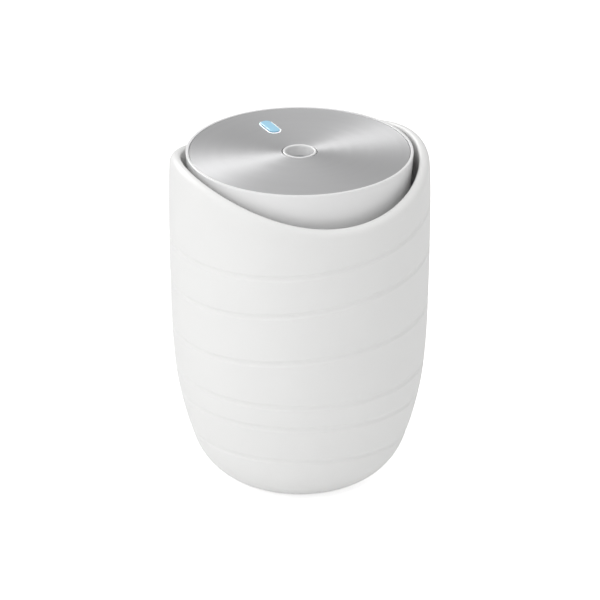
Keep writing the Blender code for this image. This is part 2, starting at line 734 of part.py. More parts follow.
def make_mist_unit(parent):
    """The gaskets, the steel disc, its ceramic ring, and the clamp that holds them under the nozzle."""
    silicone = finish("silicone", (0.75, 0.76, 0.77), 0.60)
    steel = finish("disc_steel", (0.60, 0.60, 0.60), 0.25, 1.0)
    ceramic = finish("ceramic", (0.72, 0.68, 0.58), 0.50)
    clamp = finish("clamp_plastic", (0.12, 0.12, 0.13), 0.55)
    washer("upper_gasket", GASKET_BORE, GASKET_RADIUS, UPPER_GASKET_TOP, GASKET_THICKNESS, silicone, parent)
    disc = [(0.0, DISC_TOP), (DISC_RADIUS, DISC_TOP), (DISC_RADIUS, DISC_TOP - DISC_THICKNESS)]
    turned("mist_disc", disc + [(0.0, DISC_TOP - DISC_THICKNESS)], steel, parent)
    washer("piezo_ring", CERAMIC_BORE, DISC_RADIUS, CERAMIC_TOP, CERAMIC_THICKNESS, ceramic, parent)
    lower = (CERAMIC_BORE, GASKET_RADIUS, LOWER_GASKET_TOP, GASKET_THICKNESS)
    washer("lower_gasket", *lower, silicone, parent)

    wall_top = NOZZLE_BOTTOM - REST_GAP
    profile = [
        (RETAINER_BORE, RETAINER_FLOOR_TOP),
        (RETAINER_INNER, RETAINER_FLOOR_TOP),
        (RETAINER_INNER, wall_top),
        (RETAINER_OUTER, wall_top),
        (RETAINER_OUTER, RETAINER_BOTTOM),
        (RETAINER_BORE, RETAINER_BOTTOM),
    ]
    retainer = turned("disc_retainer", profile, clamp, parent)
    ears = bmesh.new()
    holes = bmesh.new()
    for side in (-1, 1):
        levels = (RETAINER_BOTTOM, RETAINER_FLOOR_TOP)
        add_loft(ears, [ear_outline(side, z) for z in levels])
        levels = (RETAINER_BOTTOM - OVERRUN, RETAINER_FLOOR_TOP + OVERRUN)
        radius = SCREW_RADIUS + THROUGH_CLEARANCE
        add_loft(holes, [circle(radius, z, ROUND_SMALL, side * RETAINER_EAR_CENTRE) for z in levels])
    join(retainer, place_object("retainer_ears", ears, None, parent))
    cut(retainer, place_object("retainer_holes", holes, None, parent))
    low = (-LEAD_NOTCH_WIDTH / 2, GASKET_RADIUS - OVERRUN, LOWER_GASKET_TOP)
    high = (LEAD_NOTCH_WIDTH / 2, RETAINER_OUTER + OVERRUN, wall_top + OVERRUN)
    cut(retainer, block("lead_notch", low, high, None, parent))


def make_button(head, button):
    """The glowing frame, the lit cap that slides in it, and the switch's plunger under the cap."""
    glow = finish("frame_glow", (0.90, 0.93, 0.97), 0.35)
    lit = finish("button_blue", (0.42, 0.72, 0.92), 0.30)
    dark = finish("plunger_black", (0.03, 0.03, 0.03), 0.50)

    frame_top = PLATE_HEIGHT + FRAME_PROUD
    section = [
        (FRAME_INNER, frame_top),
        (FRAME_OUTER, frame_top),
        (FRAME_OUTER, FRAME_FLANGE_TOP),
        (FRAME_OUTER + FRAME_FLANGE, FRAME_FLANGE_TOP),
        (FRAME_OUTER + FRAME_FLANGE, FRAME_BOTTOM),
        (FRAME_INNER, FRAME_BOTTOM),
    ]
    loops = [stadium(BUTTON_LENGTH, BUTTON_WIDTH, z, grow, BUTTON_CENTRE) for grow, z in section]
    loft("button_frame", loops, glow, head, closed=True)

    cap_top = PLATE_HEIGHT + BUTTON_PROUD
    edge = BUTTON_PROUD / 3
    section = [
        (-edge, cap_top),
        (0.0, cap_top - edge),
        (0.0, BUTTON_FLANGE_TOP),
        (BUTTON_FLANGE, BUTTON_FLANGE_TOP),
        (BUTTON_FLANGE, BUTTON_BOTTOM),
    ]
    loops = [stadium(BUTTON_LENGTH, BUTTON_WIDTH, z, grow, BUTTON_CENTRE) for grow, z in section]
    loft("power_button", loops, lit, button)

    top, bottom = BUTTON_BOTTOM - REST_GAP, SWITCH_TOP - PLUNGER_BURIED
    profile = [(0.0, top), (PLUNGER_RADIUS, top), (PLUNGER_RADIUS, bottom), (0.0, bottom)]
    turned("switch_plunger", profile, dark, button, ROUND_SMALL, y=BUTTON_CENTRE)


def board_outline(height):
    """The board's outline: a straight front, straight sides and a back edge that follows the housing."""
    reach = math.asin(BOARD_HALF_WIDTH / BOARD_RADIUS)
    steps = 12
    points = [(-BOARD_HALF_WIDTH, BOARD_FRONT, height), (BOARD_HALF_WIDTH, BOARD_FRONT, height)]
    for step in range(steps + 1):
        angle = reach - 2 * reach * step / steps
        points.append((BOARD_RADIUS * math.sin(angle), BOARD_RADIUS * math.cos(angle), height))
    return points


def make_board(parent):
    """The control board with its switch, chip, coil, lights and power socket."""
    green = finish("board_green", (0.03, 0.20, 0.08), 0.40)
    black = finish("component_black", (0.02, 0.02, 0.02), 0.45)
    ferrite = finish("coil_ferrite", (0.10, 0.10, 0.11), 0.60)
    lamp = finish("led_white", (0.90, 0.90, 0.82), 0.30)
    steel = finish("socket_steel", (0.65, 0.65, 0.66), 0.30, 1.0)

    board = loft("control_board", [board_outline(BOARD_BOTTOM), board_outline(BOARD_TOP)], green, parent)
    holes = bmesh.new()
    ends = (BOARD_BOTTOM - OVERRUN, BOARD_TOP + OVERRUN)
    for x, y in board_screws():
        add_loft(holes, [circle(SCREW_RADIUS + THROUGH_CLEARANCE, z, ROUND_SMALL, x, y) for z in ends])
    cut(board, place_object("board_holes", holes, None, parent))

    switch_size = (SWITCH_SIDE, SWITCH_SIDE, SWITCH_HEIGHT)
    switch = block_at("button_switch", switch_size, (0.0, BUTTON_CENTRE), ON_BOARD, black, parent)
    bore_floor = SWITCH_TOP - PLUNGER_BURIED - BUTTON_TRAVEL - REST_GAP
    bore = [(0.0, SWITCH_TOP + OVERRUN), (PLUNGER_RADIUS + REST_GAP, SWITCH_TOP + OVERRUN)]
    bore += [(PLUNGER_RADIUS + REST_GAP, bore_floor), (0.0, bore_floor)]
    cut(switch, turned("switch_bore", bore, None, parent, ROUND_SMALL, y=BUTTON_CENTRE))

    parts_y = BOARD_FRONT + PARTS_FROM_FRONT
    block_at("control_chip", CHIP_SIZE, (PARTS_SPREAD, parts_y), ON_BOARD, black, parent)
    coil_bottom = BOARD_BOTTOM - REST_GAP - COIL_SIZE[2]
    block_at("driver_coil", COIL_SIZE, (-PARTS_SPREAD, parts_y), coil_bottom, ferrite, parent)
    for name, side in (("button_led_front", -1), ("button_led_rear", 1)):
        place = (0.0, BUTTON_CENTRE + side * LED_FROM_BUTTON)
        block_at(name, LED_SIZE, place, ON_BOARD, lamp, parent)

    mouth = math.sqrt(housing_radius(ON_BOARD) ** 2 - (SOCKET_WIDTH / 2) ** 2) - SOCKET_RECESS
    middle = mouth - SOCKET_DEPTH / 2
    size = (SOCKET_WIDTH, SOCKET_DEPTH, SOCKET_HEIGHT)
    socket = block_at("usb_socket", size, (0.0, middle), ON_BOARD, steel, parent)
    inner_half = SOCKET_WIDTH / 2 - SOCKET_WALL
    low = (-inner_half, mouth - SOCKET_DEPTH + 3 * SOCKET_WALL, ON_BOARD + SOCKET_WALL)
    high = (inner_half, mouth + OVERRUN, ON_BOARD + SOCKET_HEIGHT - SOCKET_WALL)
    cut(socket, block("socket_cavity", low, high, None, parent))
    tongue_low = ON_BOARD + (SOCKET_HEIGHT - SOCKET_TONGUE[2]) / 2
    low = (-SOCKET_TONGUE[0] / 2, mouth - SOCKET_DEPTH + SOCKET_WALL, tongue_low)
    tongue_end = low[1] + 2 * SOCKET_WALL + SOCKET_TONGUE[1]
    high = (SOCKET_TONGUE[0] / 2, tongue_end, tongue_low + SOCKET_TONGUE[2])
    join(socket, block("socket_tongue", low, high, None, parent))


def make_leads(parent):
    """The two leads from the board to the piezo ring."""
    red = finish("lead_red", (0.55, 0.03, 0.03), 0.45)
    black = finish("lead_black", (0.02, 0.02, 0.02), 0.45)
    height = LOWER_GASKET_TOP + REST_GAP + LEAD_RADIUS
    above_board = ON_BOARD + LEAD_RADIUS
    ring_edge = DISC_RADIUS + LEAD_RADIUS + REST_GAP
    for name, side, material in (("lead_live", -1, red), ("lead_return", 1, black)):
        x = side * LEAD_SPREAD
        route = [
            (x, BOARD_FRONT + LEAD_ON_BOARD, above_board),
            (x, BOARD_FRONT + LEAD_EDGE, above_board),
            (x, BOARD_FRONT - LEAD_DROP, height),
            (x, ring_edge, height),
        ]
        tube(name, eased(route, 2), LEAD_RADIUS, material, parent)


def make_screws(parent):
    """One screw for each post, its head under what it holds and its shank in the post."""
    steel = finish("screw_steel", (0.55, 0.55, 0.56), 0.30, 1.0)
    counts = {}
    for kind, x, y, _, top_of_held, bottom_of_held in post_positions():
        counts[kind] = counts.get(kind, 0) + 1
        head_top = bottom_of_held - REST_GAP
        head_bottom = head_top - SCREW_HEAD_HEIGHT
        tip = min(top_of_held + REST_GAP + SCREW_REACH, DECK_TOP - OVERRUN) - REST_GAP
        crown = SCREW_HEAD_RADIUS * SCREW_CROWN
        slot_top = head_bottom + SCREW_SLOT_DEPTH
        profile = [(0.0, tip), (SCREW_RADIUS / 2, tip), (SCREW_RADIUS, tip - SCREW_RADIUS / 2)]
        profile += [(SCREW_RADIUS, head_top), (SCREW_HEAD_RADIUS, head_top)]
        profile += [(SCREW_HEAD_RADIUS, slot_top), (crown, head_bottom), (0.0, head_bottom)]
        name = f"{kind}_{counts[kind]}"
        screw = turned(name, profile, steel, parent, ROUND_SMALL, x, y)
        half, reach = SCREW_SLOT_WIDTH / 2, SCREW_HEAD_RADIUS + OVERRUN
        low = (x - half, y - reach, head_bottom - OVERRUN)
        high = (x + half, y + reach, slot_top)
        cut(screw, block(f"{name}_slot", low, high, None, parent))


def make_head_base(parent, white):
    """The cover under the head: plate, upstand, spigot with its seal groove, and wick collar."""
    upstand_outer = HOUSING_FOOT - HOUSING_WALL - REST_GAP
    upstand_inner = upstand_outer - UPSTAND_WALL
    groove = SEAL_GROOVE_RADIUS
    collar = WICK_HOLE + COLLAR_WALL
    profile = [
        (WICK_HOLE, COLLAR_TOP),
        (collar, COLLAR_TOP),
        (collar, BASE_PLATE_TOP),
        (upstand_inner, BASE_PLATE_TOP),
        (upstand_inner, BASE_PLATE_TOP + UPSTAND_HEIGHT),
        (upstand_outer, BASE_PLATE_TOP + UPSTAND_HEIGHT),
        (upstand_outer, BASE_PLATE_TOP),
        (HOUSING_FOOT, BASE_PLATE_TOP),
        (HOUSING_FOOT, BASE_PLATE_BOTTOM),
        (SPIGOT_RADIUS, BASE_PLATE_BOTTOM),
        (SPIGOT_RADIUS, SEAL_GROOVE_TOP),
        (groove, SEAL_GROOVE_TOP),
        (groove, SEAL_GROOVE_BOTTOM),
        (SPIGOT_RADIUS, SEAL_GROOVE_BOTTOM),
        (SPIGOT_RADIUS, SPIGOT_BOTTOM),
        (SPIGOT_INNER, SPIGOT_BOTTOM),
        (SPIGOT_INNER, BASE_PLATE_BOTTOM),
        (WICK_HOLE, BASE_PLATE_BOTTOM),
    ]
    base = turned("head_base", profile, white, parent, ROUND_LARGE)
    holes = bmesh.new()
    ends = (BASE_PLATE_BOTTOM - OVERRUN, BASE_PLATE_TOP + OVERRUN)
    for kind, x, y, *_ in post_positions():
        if kind == "base_screw":
            radius = SCREW_RADIUS + THROUGH_CLEARANCE
            add_loft(holes, [circle(radius, z, ROUND_SMALL, x, y) for z in ends])
    cut(base, place_object("base_holes", holes, None, parent))

    silicone = finish("seal_silicone", (0.70, 0.72, 0.74), 0.60)
    top, bottom = SEAL_GROOVE_TOP - REST_GAP, SEAL_GROOVE_BOTTOM + REST_GAP
    bore, outer = groove + REST_GAP, TANK_INNER - SEAL_SQUEEZE_GAP
    lip = SPIGOT_GAP / 2
    seal = [(bore, top), (SPIGOT_RADIUS, top), (outer, top - lip), (outer, bottom + lip)]
    seal += [(SPIGOT_RADIUS, bottom), (bore, bottom)]
    turned("tank_seal", seal, silicone, parent, ROUND_LARGE)


def make_wick(parent):
    """The wick, the tube that holds it in the water, the spring below it, and the end cap."""
    white = finish("holder_white", (0.82, 0.82, 0.80), 0.45)
    felt = finish("wick_felt", (0.88, 0.86, 0.80), 0.95)
    steel = finish("spring_steel", (0.60, 0.60, 0.62), 0.25, 1.0)

    tank_floor = base_turn(SHELL_WALL + TANK_GAP + TANK_WALL, 1)[0][1]
    cap_bottom = tank_floor + WICK_CAP_CLEARANCE
    cap_top = cap_bottom + WICK_CAP_THICKNESS
    tube_bottom = cap_top + REST_GAP
    tube_top = COLLAR_TOP - REST_GAP
    flange_bottom = WICK_TUBE_FLANGE_TOP - WICK_TUBE_FLANGE_THICKNESS
    profile = [
        (WICK_TUBE_INNER, tube_top),
        (WICK_TUBE_OUTER, tube_top),
        (WICK_TUBE_OUTER, WICK_TUBE_FLANGE_TOP),
        (WICK_TUBE_FLANGE, WICK_TUBE_FLANGE_TOP),
        (WICK_TUBE_FLANGE, flange_bottom),
        (WICK_TUBE_OUTER, flange_bottom),
        (WICK_TUBE_OUTER, tube_bottom),
        (WICK_TUBE_INNER, tube_bottom),
    ]
    holder = turned("wick_tube", profile, white, parent)
    plug_top = cap_top + WICK_CAP_PLUG
    low = (-INTAKE_WIDTH / 2, -WICK_TUBE_OUTER - OVERRUN, plug_top + INTAKE_WIDTH)
    high = (INTAKE_WIDTH / 2, WICK_TUBE_OUTER + OVERRUN, plug_top + INTAKE_WIDTH + INTAKE_LENGTH)
    cut(holder, block("intake_slots", low, high, None, parent))

    plug = WICK_TUBE_INNER - REST_GAP
    profile = [(0.0, plug_top), (plug, plug_top), (plug, cap_top), (WICK_TUBE_OUTER, cap_top)]
    profile += [(WICK_TUBE_OUTER, cap_bottom + OVERRUN / 2), (plug, cap_bottom), (0.0, cap_bottom)]
    turned("wick_cap", profile, white, parent)

    spring_bottom = plug_top + REST_GAP + SPRING_WIRE
    coil_radius = WICK_RADIUS - SPRING_WIRE
    steps = 10 * SPRING_TURNS
    route = []
    for step in range(steps + 1):
        angle = 2 * math.pi * SPRING_TURNS * step / steps
        height = spring_bottom + SPRING_LENGTH * step / steps
        route.append((coil_radius * math.sin(angle), -coil_radius * math.cos(angle), height))
    spring = tube("wick_spring", route, SPRING_WIRE, steel, parent)
    spring.data.bevel_resolution = 1

    wick_bottom = spring_bottom + SPRING_LENGTH + SPRING_WIRE + REST_GAP
    edge = WICK_GAP / 2
    profile = [(0.0, WICK_TOP), (WICK_RADIUS - edge, WICK_TOP), (WICK_RADIUS, WICK_TOP - edge)]
    profile += [(WICK_RADIUS, wick_bottom + edge), (WICK_RADIUS - edge, wick_bottom), (0.0, wick_bottom)]
    turned("wick", profile, felt, parent)


def main():
    """Builds every piece, each on the group that it moves with."""
    clear_scene()
    shell = group("shell_group")
    tank = group("tank_group")
    head = group("head_group")
    button = group("button_group", BUTTON_CENTRE)
    white = finish("head_white", (0.80, 0.80, 0.79), 0.40)
    make_shell(shell)
    make_tank(tank)
    make_housing(head, white)
    make_plate(head)
    make_nozzle(head, white)
    make_mist_unit(head)
    make_button(head, button)
    make_board(head)
    make_leads(head)
    make_head_base(head, white)
    make_screws(head)
    make_wick(head)


main()
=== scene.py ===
"""The looks of an essential oil diffuser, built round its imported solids.

A white barrel shell with a waved rim holds a lift-out water tank. The electronic head on the tank
carries a spun aluminium plate, the mist nozzle and a lit power button. All sizes are in metres,
+Z is up and the front, where the rim is low, faces -Y.
"""

import json
import logging
import math
from dataclasses import dataclass
from enum import Enum
from typing import Any, Callable, NamedTuple, Sequence

import bmesh
import bpy
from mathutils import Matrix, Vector

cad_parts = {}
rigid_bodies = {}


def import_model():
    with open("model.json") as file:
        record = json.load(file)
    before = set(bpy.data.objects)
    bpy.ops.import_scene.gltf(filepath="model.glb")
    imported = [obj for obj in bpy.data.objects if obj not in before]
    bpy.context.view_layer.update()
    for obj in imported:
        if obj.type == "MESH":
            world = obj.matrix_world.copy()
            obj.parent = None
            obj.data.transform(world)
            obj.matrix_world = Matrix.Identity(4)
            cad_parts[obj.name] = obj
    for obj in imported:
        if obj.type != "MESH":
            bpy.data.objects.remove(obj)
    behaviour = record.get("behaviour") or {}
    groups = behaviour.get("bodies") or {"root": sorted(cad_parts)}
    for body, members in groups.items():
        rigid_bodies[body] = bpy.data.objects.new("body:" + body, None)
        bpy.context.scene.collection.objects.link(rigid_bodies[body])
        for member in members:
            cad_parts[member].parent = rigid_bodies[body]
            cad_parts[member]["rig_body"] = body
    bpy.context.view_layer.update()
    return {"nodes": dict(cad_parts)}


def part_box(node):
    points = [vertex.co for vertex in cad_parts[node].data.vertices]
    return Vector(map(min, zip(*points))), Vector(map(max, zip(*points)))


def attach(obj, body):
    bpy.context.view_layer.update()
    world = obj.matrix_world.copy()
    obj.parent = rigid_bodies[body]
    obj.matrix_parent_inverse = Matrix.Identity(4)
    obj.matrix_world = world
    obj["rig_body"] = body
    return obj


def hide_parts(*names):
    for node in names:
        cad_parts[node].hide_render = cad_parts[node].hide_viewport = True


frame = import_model()

LOG = logging.getLogger("diffuser")
REST_GAP = 0.0003
FULL_TURN = 2 * math.pi
SOFT_BEND = math.radians(14)
SHARP_BEND = math.radians(20)

Colour = tuple[float, float, float]
Point = tuple[float, float, float]
Section = list[tuple[float, float]]
Loop = list[Point]


class Body(Enum):
    """The rigid bodies that pieces ride on."""

    SHELL = "shell"
    TANK = "tank"
    HEAD = "head"
    BUTTON = "button"


class Slot(Enum):
    """The record's material slots."""

    SHELL = "shell_white"
    HEAD = "head_white"
    PLATE = "spun_aluminium"
    FRAME = "frame_glow"
    BUTTON = "button_blue"
    TANK = "tank_plastic"
    FOOT = "foot_rubber"
    SILICONE = "silicone"
    STEEL = "bright_steel"
    CERAMIC = "ceramic"
    CLAMP = "clamp_plastic"
    HOLDER = "holder_white"
    FELT = "wick_felt"
    BOARD = "board_green"
    BLACK = "component_black"
    FERRITE = "coil_ferrite"
    LAMP = "led_white"
    RED = "lead_red"


class Corner(NamedTuple):
    """A corner of a turned section: radius, height, and how widely it is rounded."""

    radius: float
    height: float
    rounding: float = 0.0


class Span(NamedTuple):
    """Lowest and highest height of a node, and its largest reach from the middle axis along X."""

    low: float
    high: float
    reach: float


def span(node: str) -> Span:
    """Reads a node's heights and reach.

    Args:
        node: the node's name.

    Returns:
        Its lowest and highest height, and its largest distance from the axis along X.
    """
    low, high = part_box(node)
    return Span(low.z, high.z, max(abs(low.x), abs(high.x)))


# ------------------------------------------------------------------ node trees


class Graph:
    """A node tree with short ways to add nodes, links and sums."""

    def __init__(self, tree: bpy.types.NodeTree) -> None:
        """Wraps a tree."""
        self.tree = tree

    def add(self, kind: str, inputs: dict[Any, Any] | None = None, **settings: Any) -> bpy.types.Node:
        """Adds a node.

        Args:
            kind: the node's type.
            inputs: values or sockets for its inputs, by name or number.
            **settings: the node's own properties.

        Returns:
            The new node.
        """
        node = self.tree.nodes.new(kind)
        for key, value in settings.items():
            setattr(node, key, value)
        for key, value in (inputs or {}).items():
            if isinstance(value, bpy.types.NodeSocket):
                self.tree.links.new(value, node.inputs[key])
            else:
                node.inputs[key].default_value = value
        return node

    def sum(self, operation: str, *values: Any) -> bpy.types.NodeSocket:
        """Works one operation on numbers or sockets and returns the result's socket."""
        return self.add("ShaderNodeMath", dict(enumerate(values)), operation=operation).outputs[0]

    def chain(self, operation: str, *values: Any) -> bpy.types.NodeSocket:
        """Joins any number of values by one operation, two at a time, and returns the last socket.

        Args:
            operation: the operation.
            values: the sockets or numbers, at least two.

        Returns:
            The last socket.
        """
        total = values[0]
        for value in values[1:]:
            total = self.sum(operation, total, value)
        return total

    def attribute(self, name: str, data_type: str = "FLOAT") -> bpy.types.NodeSocket:
        """Reads a named attribute in a geometry tree and returns its socket."""
        node = self.add("GeometryNodeInputNamedAttribute", {"Name": name}, data_type=data_type)
        return node.outputs["Attribute"]

    def ends(self) -> tuple[bpy.types.Node, bpy.types.Node]:
        """Adds the group's input and output nodes and returns both."""
        return self.add("NodeGroupInput"), self.add("NodeGroupOutput")


SOCKETS = {
    "float": "NodeSocketFloat", "int": "NodeSocketInt", "vector": "NodeSocketVector",
    "geometry": "NodeSocketGeometry", "object": "NodeSocketObject", "material": "NodeSocketMaterial",
}


def open_group(name: str, tree_type: str, inputs: dict[str, Any], outputs: dict[str, str]) -> Graph:
    """Starts a node group.

    Args:
        name: the group's name.
        tree_type: "ShaderNodeTree" or "GeometryNodeTree".
        inputs: each input's kind, or its default number.
        outputs: each output's kind.

    Returns:
        The graph to fill.
    """
    tree = bpy.data.node_groups.new(name, tree_type)
    for title, value in inputs.items():
        kind = value if isinstance(value, str) else "float"
        socket = tree.interface.new_socket(title, in_out="INPUT", socket_type=SOCKETS[kind])
        if not isinstance(value, str):
            socket.default_value = value
    for title, kind in outputs.items():
        tree.interface.new_socket(title, in_out="OUTPUT", socket_type=SOCKETS[kind])
    return Graph(tree)


# ------------------------------------------------------------------ shared surface effects


class Effect(Enum):
    """Surface effects that more than one finish uses, by the names of their node groups."""

    GRAIN = "fine_grain"
    DRIFT = "tone_drift"
    WEAR = "edge_wear"
    LINES = "turned_lines"


def build_grain() -> None:
    """The fine eroded texture of moulded plastic: a height, and a tone that follows it."""
    graph = open_group(
        Effect.GRAIN.value, "ShaderNodeTree", {"Vector": "vector", "Size": 0.0004, "Softness": 0.5},
        {"Height": "float", "Tone": "float"},
    )
    start, end = graph.ends()
    scale = graph.sum("DIVIDE", 1.0, start.outputs["Size"])
    noise = graph.add(
        "ShaderNodeTexNoise",
        {
            "Vector": start.outputs["Vector"], "Scale": scale, "Detail": 3.0,
            "Roughness": start.outputs["Softness"],
        },
    )
    cells = graph.add(
        "ShaderNodeTexVoronoi", {"Vector": start.outputs["Vector"], "Scale": scale}, feature="SMOOTH_F1",
    )
    height = graph.sum(
        "ADD", graph.sum("MULTIPLY", noise.outputs[0], 0.7), graph.sum("MULTIPLY", cells.outputs[0], 0.3)
    )
    graph.tree.links.new(height, end.inputs["Height"])
    graph.tree.links.new(graph.sum("SUBTRACT", height, 0.5), end.inputs["Tone"])


def build_drift() -> None:
    """A slow drift of tone across a piece, from -1 to 1 times its amount."""
    graph = open_group(
        Effect.DRIFT.value, "ShaderNodeTree", {"Vector": "vector", "Size": 0.03, "Amount": 0.05}, {
            "Tone": "float"
        }
    )
    start, end = graph.ends()
    scale = graph.sum("DIVIDE", 1.0, start.outputs["Size"])
    noise = graph.add(
        "ShaderNodeTexNoise", {"Vector": start.outputs["Vector"], "Scale": scale, "Detail": 4.0}
    )
    centred = graph.sum("MULTIPLY", graph.sum("SUBTRACT", noise.outputs[0], 0.5), 2.0)
    graph.tree.links.new(graph.sum("MULTIPLY", centred, start.outputs["Amount"]), end.inputs["Tone"])


def build_wear() -> None:
    """A mask that is high on worn outer edges, broken up by noise."""
    graph = open_group(
        Effect.WEAR.value, "ShaderNodeTree", {"Vector": "vector", "Size": 0.004, "Amount": 0.3},
        {"Mask": "float"},
    )
    start, end = graph.ends()
    edge = graph.add("ShaderNodeAttribute", attribute_name="edge").outputs["Fac"]
    scale = graph.sum("DIVIDE", 1.0, start.outputs["Size"])
    noise = graph.add(
        "ShaderNodeTexNoise", {"Vector": start.outputs["Vector"], "Scale": scale, "Detail": 5.0}
    )
    patchy = graph.sum("MULTIPLY", edge, graph.sum("ADD", noise.outputs[0], 0.2))
    masked = graph.add("ShaderNodeClamp", {0: graph.sum("MULTIPLY", patchy, start.outputs["Amount"])})
    graph.tree.links.new(masked.outputs[0], end.inputs["Mask"])


def build_lines() -> None:
    """Fine circular tool lines round the Z axis, as a lathe leaves them."""
    graph = open_group(
        Effect.LINES.value, "ShaderNodeTree", {"Vector": "vector", "Pitch": 0.0002},
        {"Height": "float", "Tone": "float"},
    )
    start, end = graph.ends()
    parts = graph.add("ShaderNodeSeparateXYZ", {0: start.outputs["Vector"]})
    across, along = parts.outputs[0], parts.outputs[1]
    squares = graph.sum("ADD", graph.sum("MULTIPLY", across, across), graph.sum("MULTIPLY", along, along))
    radius = graph.sum("SQRT", squares)
    turn = graph.sum("ARCTAN2", along, across)
    rings = graph.sum("DIVIDE", radius, start.outputs["Pitch"])
    place = graph.add(
        "ShaderNodeCombineXYZ", {0: rings, 1: graph.sum("SINE", turn), 2: graph.sum("COSINE", turn)}
    )
    fine = graph.add("ShaderNodeTexNoise", {"Vector": place.outputs[0], "Scale": 1.0, "Detail": 2.0})
    slow_place = graph.add(
        "ShaderNodeCombineXYZ",
        {0: graph.sum("MULTIPLY", rings, 0.08), 1: graph.sum("SINE", turn), 2: graph.sum("COSINE", turn)},
    )
    slow = graph.add("ShaderNodeTexNoise", {"Vector": slow_place.outputs[0], "Scale": 1.0, "Detail": 3.0})
    graph.tree.links.new(fine.outputs[0], end.inputs["Height"])
    mixed = graph.sum(
        "ADD", graph.sum("MULTIPLY", fine.outputs[0], 0.5), graph.sum("MULTIPLY", slow.outputs[0], 0.5)
    )
    graph.tree.links.new(graph.sum("SUBTRACT", mixed, 0.5), end.inputs["Tone"])


EFFECT_BUILDERS: dict[Effect, Callable[[], None]] = {
    Effect.GRAIN: build_grain, Effect.DRIFT: build_drift, Effect.WEAR: build_wear,
    Effect.LINES: build_lines,
}


class Paint(Graph):
    """A material's node tree, with the shared effects and the main shader at hand."""

    def __init__(self, name: str) -> None:
        """Makes the material."""
        self.material = bpy.data.materials.new(name)
        self.material.use_nodes = True
        super().__init__(self.material.node_tree)
        self.shader = self.tree.nodes["Principled BSDF"]
        self.place = self.add("ShaderNodeTexCoord").outputs["Object"]

    def effect(self, effect: Effect, **values: float) -> bpy.types.Node:
        """Places a shared effect.

        Args:
            effect: which one.
            **values: its inputs, by their names in lower case.

        Returns:
            The group node.
        """
        if effect.value not in bpy.data.node_groups:
            EFFECT_BUILDERS[effect]()
        node = self.add("ShaderNodeGroup", node_tree=bpy.data.node_groups[effect.value])
        self.tree.links.new(self.place, node.inputs["Vector"])
        for name, value in values.items():
            node.inputs[name.title()].default_value = value
        return node

    def tint(self, colour: Colour, tone: bpy.types.NodeSocket) -> bpy.types.NodeSocket:
        """Makes a colour lighter or darker by a tone round zero.

        Args:
            colour: the middle colour.
            tone: how much lighter, as a share.

        Returns:
            The colour's socket.
        """
        factor = self.sum("ADD", tone, 1.0)
        scaled = self.add("ShaderNodeVectorMath", {0: colour}, operation="SCALE")
        self.tree.links.new(factor, scaled.inputs["Scale"])
        return scaled.outputs[0]

    def blend(self, mask: bpy.types.NodeSocket, first: Any, second: Any) -> bpy.types.NodeSocket:
        """Mixes two colours by a mask and returns the colour's socket.

        Args:
            mask: 0 gives the first colour and 1 the second.
            first: the first colour.
            second: the second colour.

        Returns:
            The mixed colour's socket.
        """
        node = self.add("ShaderNodeMix", data_type="RGBA")
        self.tree.links.new(mask, node.inputs["Factor"])
        for key, value in ((6, first), (7, second)):
            if isinstance(value, bpy.types.NodeSocket):
                self.tree.links.new(value, node.inputs[key])
            else:
                node.inputs[key].default_value = (*value, 1.0)
        return node.outputs[2]

    def bump(self, height: bpy.types.NodeSocket, depth: float, strength: float = 1.0) -> None:
        """Bumps the surface by a height, over a depth in metres.

        Args:
            height: the height, from 0 to 1.
            depth: the depth in metres.
            strength: how strong it is.
        """
        node = self.add("ShaderNodeBump", {"Strength": strength, "Distance": depth})
        self.tree.links.new(height, node.inputs["Height"])
        self.tree.links.new(node.outputs[0], self.shader.inputs["Normal"])

    def set(self, **values: Any) -> None:
        """Sets or links the shader's inputs, given by their names with underscores."""
        for name, value in values.items():
            socket = self.shader.inputs[name.replace("_", " ").title().replace("Ior", "IOR")]
            if isinstance(value, bpy.types.NodeSocket):
                self.tree.links.new(value, socket)
            elif socket.type == "RGBA":
                socket.default_value = (*value, 1.0)
            else:
                socket.default_value = value


# ------------------------------------------------------------------ finishes


@dataclass(frozen=True)
class Moulded:
    """Moulded plastic or rubber: a slow drift of tone, a fine eroded texture and worn edges.

    Attributes:
        name: the material's name.
        colour: the base colour.
        roughness: the middle roughness.
        worn: the colour of worn edges.
        wear: how strong the wear is.
        grain: the texture's size in metres.
        depth: the texture's depth in metres.
        drift: how far the tone drifts.
        coat: a clear gloss over it.
        subsurface: how much light passes through the skin.
        glow: light that it gives out.
    """

    name: str
    colour: Colour
    roughness: float
    worn: Colour = (0.9, 0.9, 0.9)
    wear: float = 0.10
    grain: float = 0.0006
    depth: float = 0.00001
    drift: float = 0.02
    coat: float = 0.0
    subsurface: float = 0.0
    glow: float = 0.0

    def material(self) -> bpy.types.Material:
        """Builds the material.

        Returns:
            The material.
        """
        paint = Paint(self.name)
        drift = paint.effect(Effect.DRIFT, amount=self.drift).outputs["Tone"]
        grain = paint.effect(Effect.GRAIN, size=self.grain)
        wear = paint.effect(Effect.WEAR, amount=self.wear).outputs["Mask"]
        fine = paint.sum("MULTIPLY", grain.outputs["Tone"], self.drift)
        colour = paint.blend(wear, paint.tint(self.colour, paint.sum("ADD", drift, fine)), self.worn)
        rough = paint.sum("ADD", self.roughness, paint.sum("MULTIPLY", drift, 1.5))
        paint.set(base_color=colour, roughness=rough, coat_weight=self.coat, coat_roughness=0.12)
        if self.subsurface:
            paint.set(subsurface_weight=self.subsurface, subsurface_scale=0.002)
        if self.glow:
            paint.set(emission_color=colour, emission_strength=self.glow)
        paint.bump(grain.outputs["Height"], self.depth)
        return paint.material


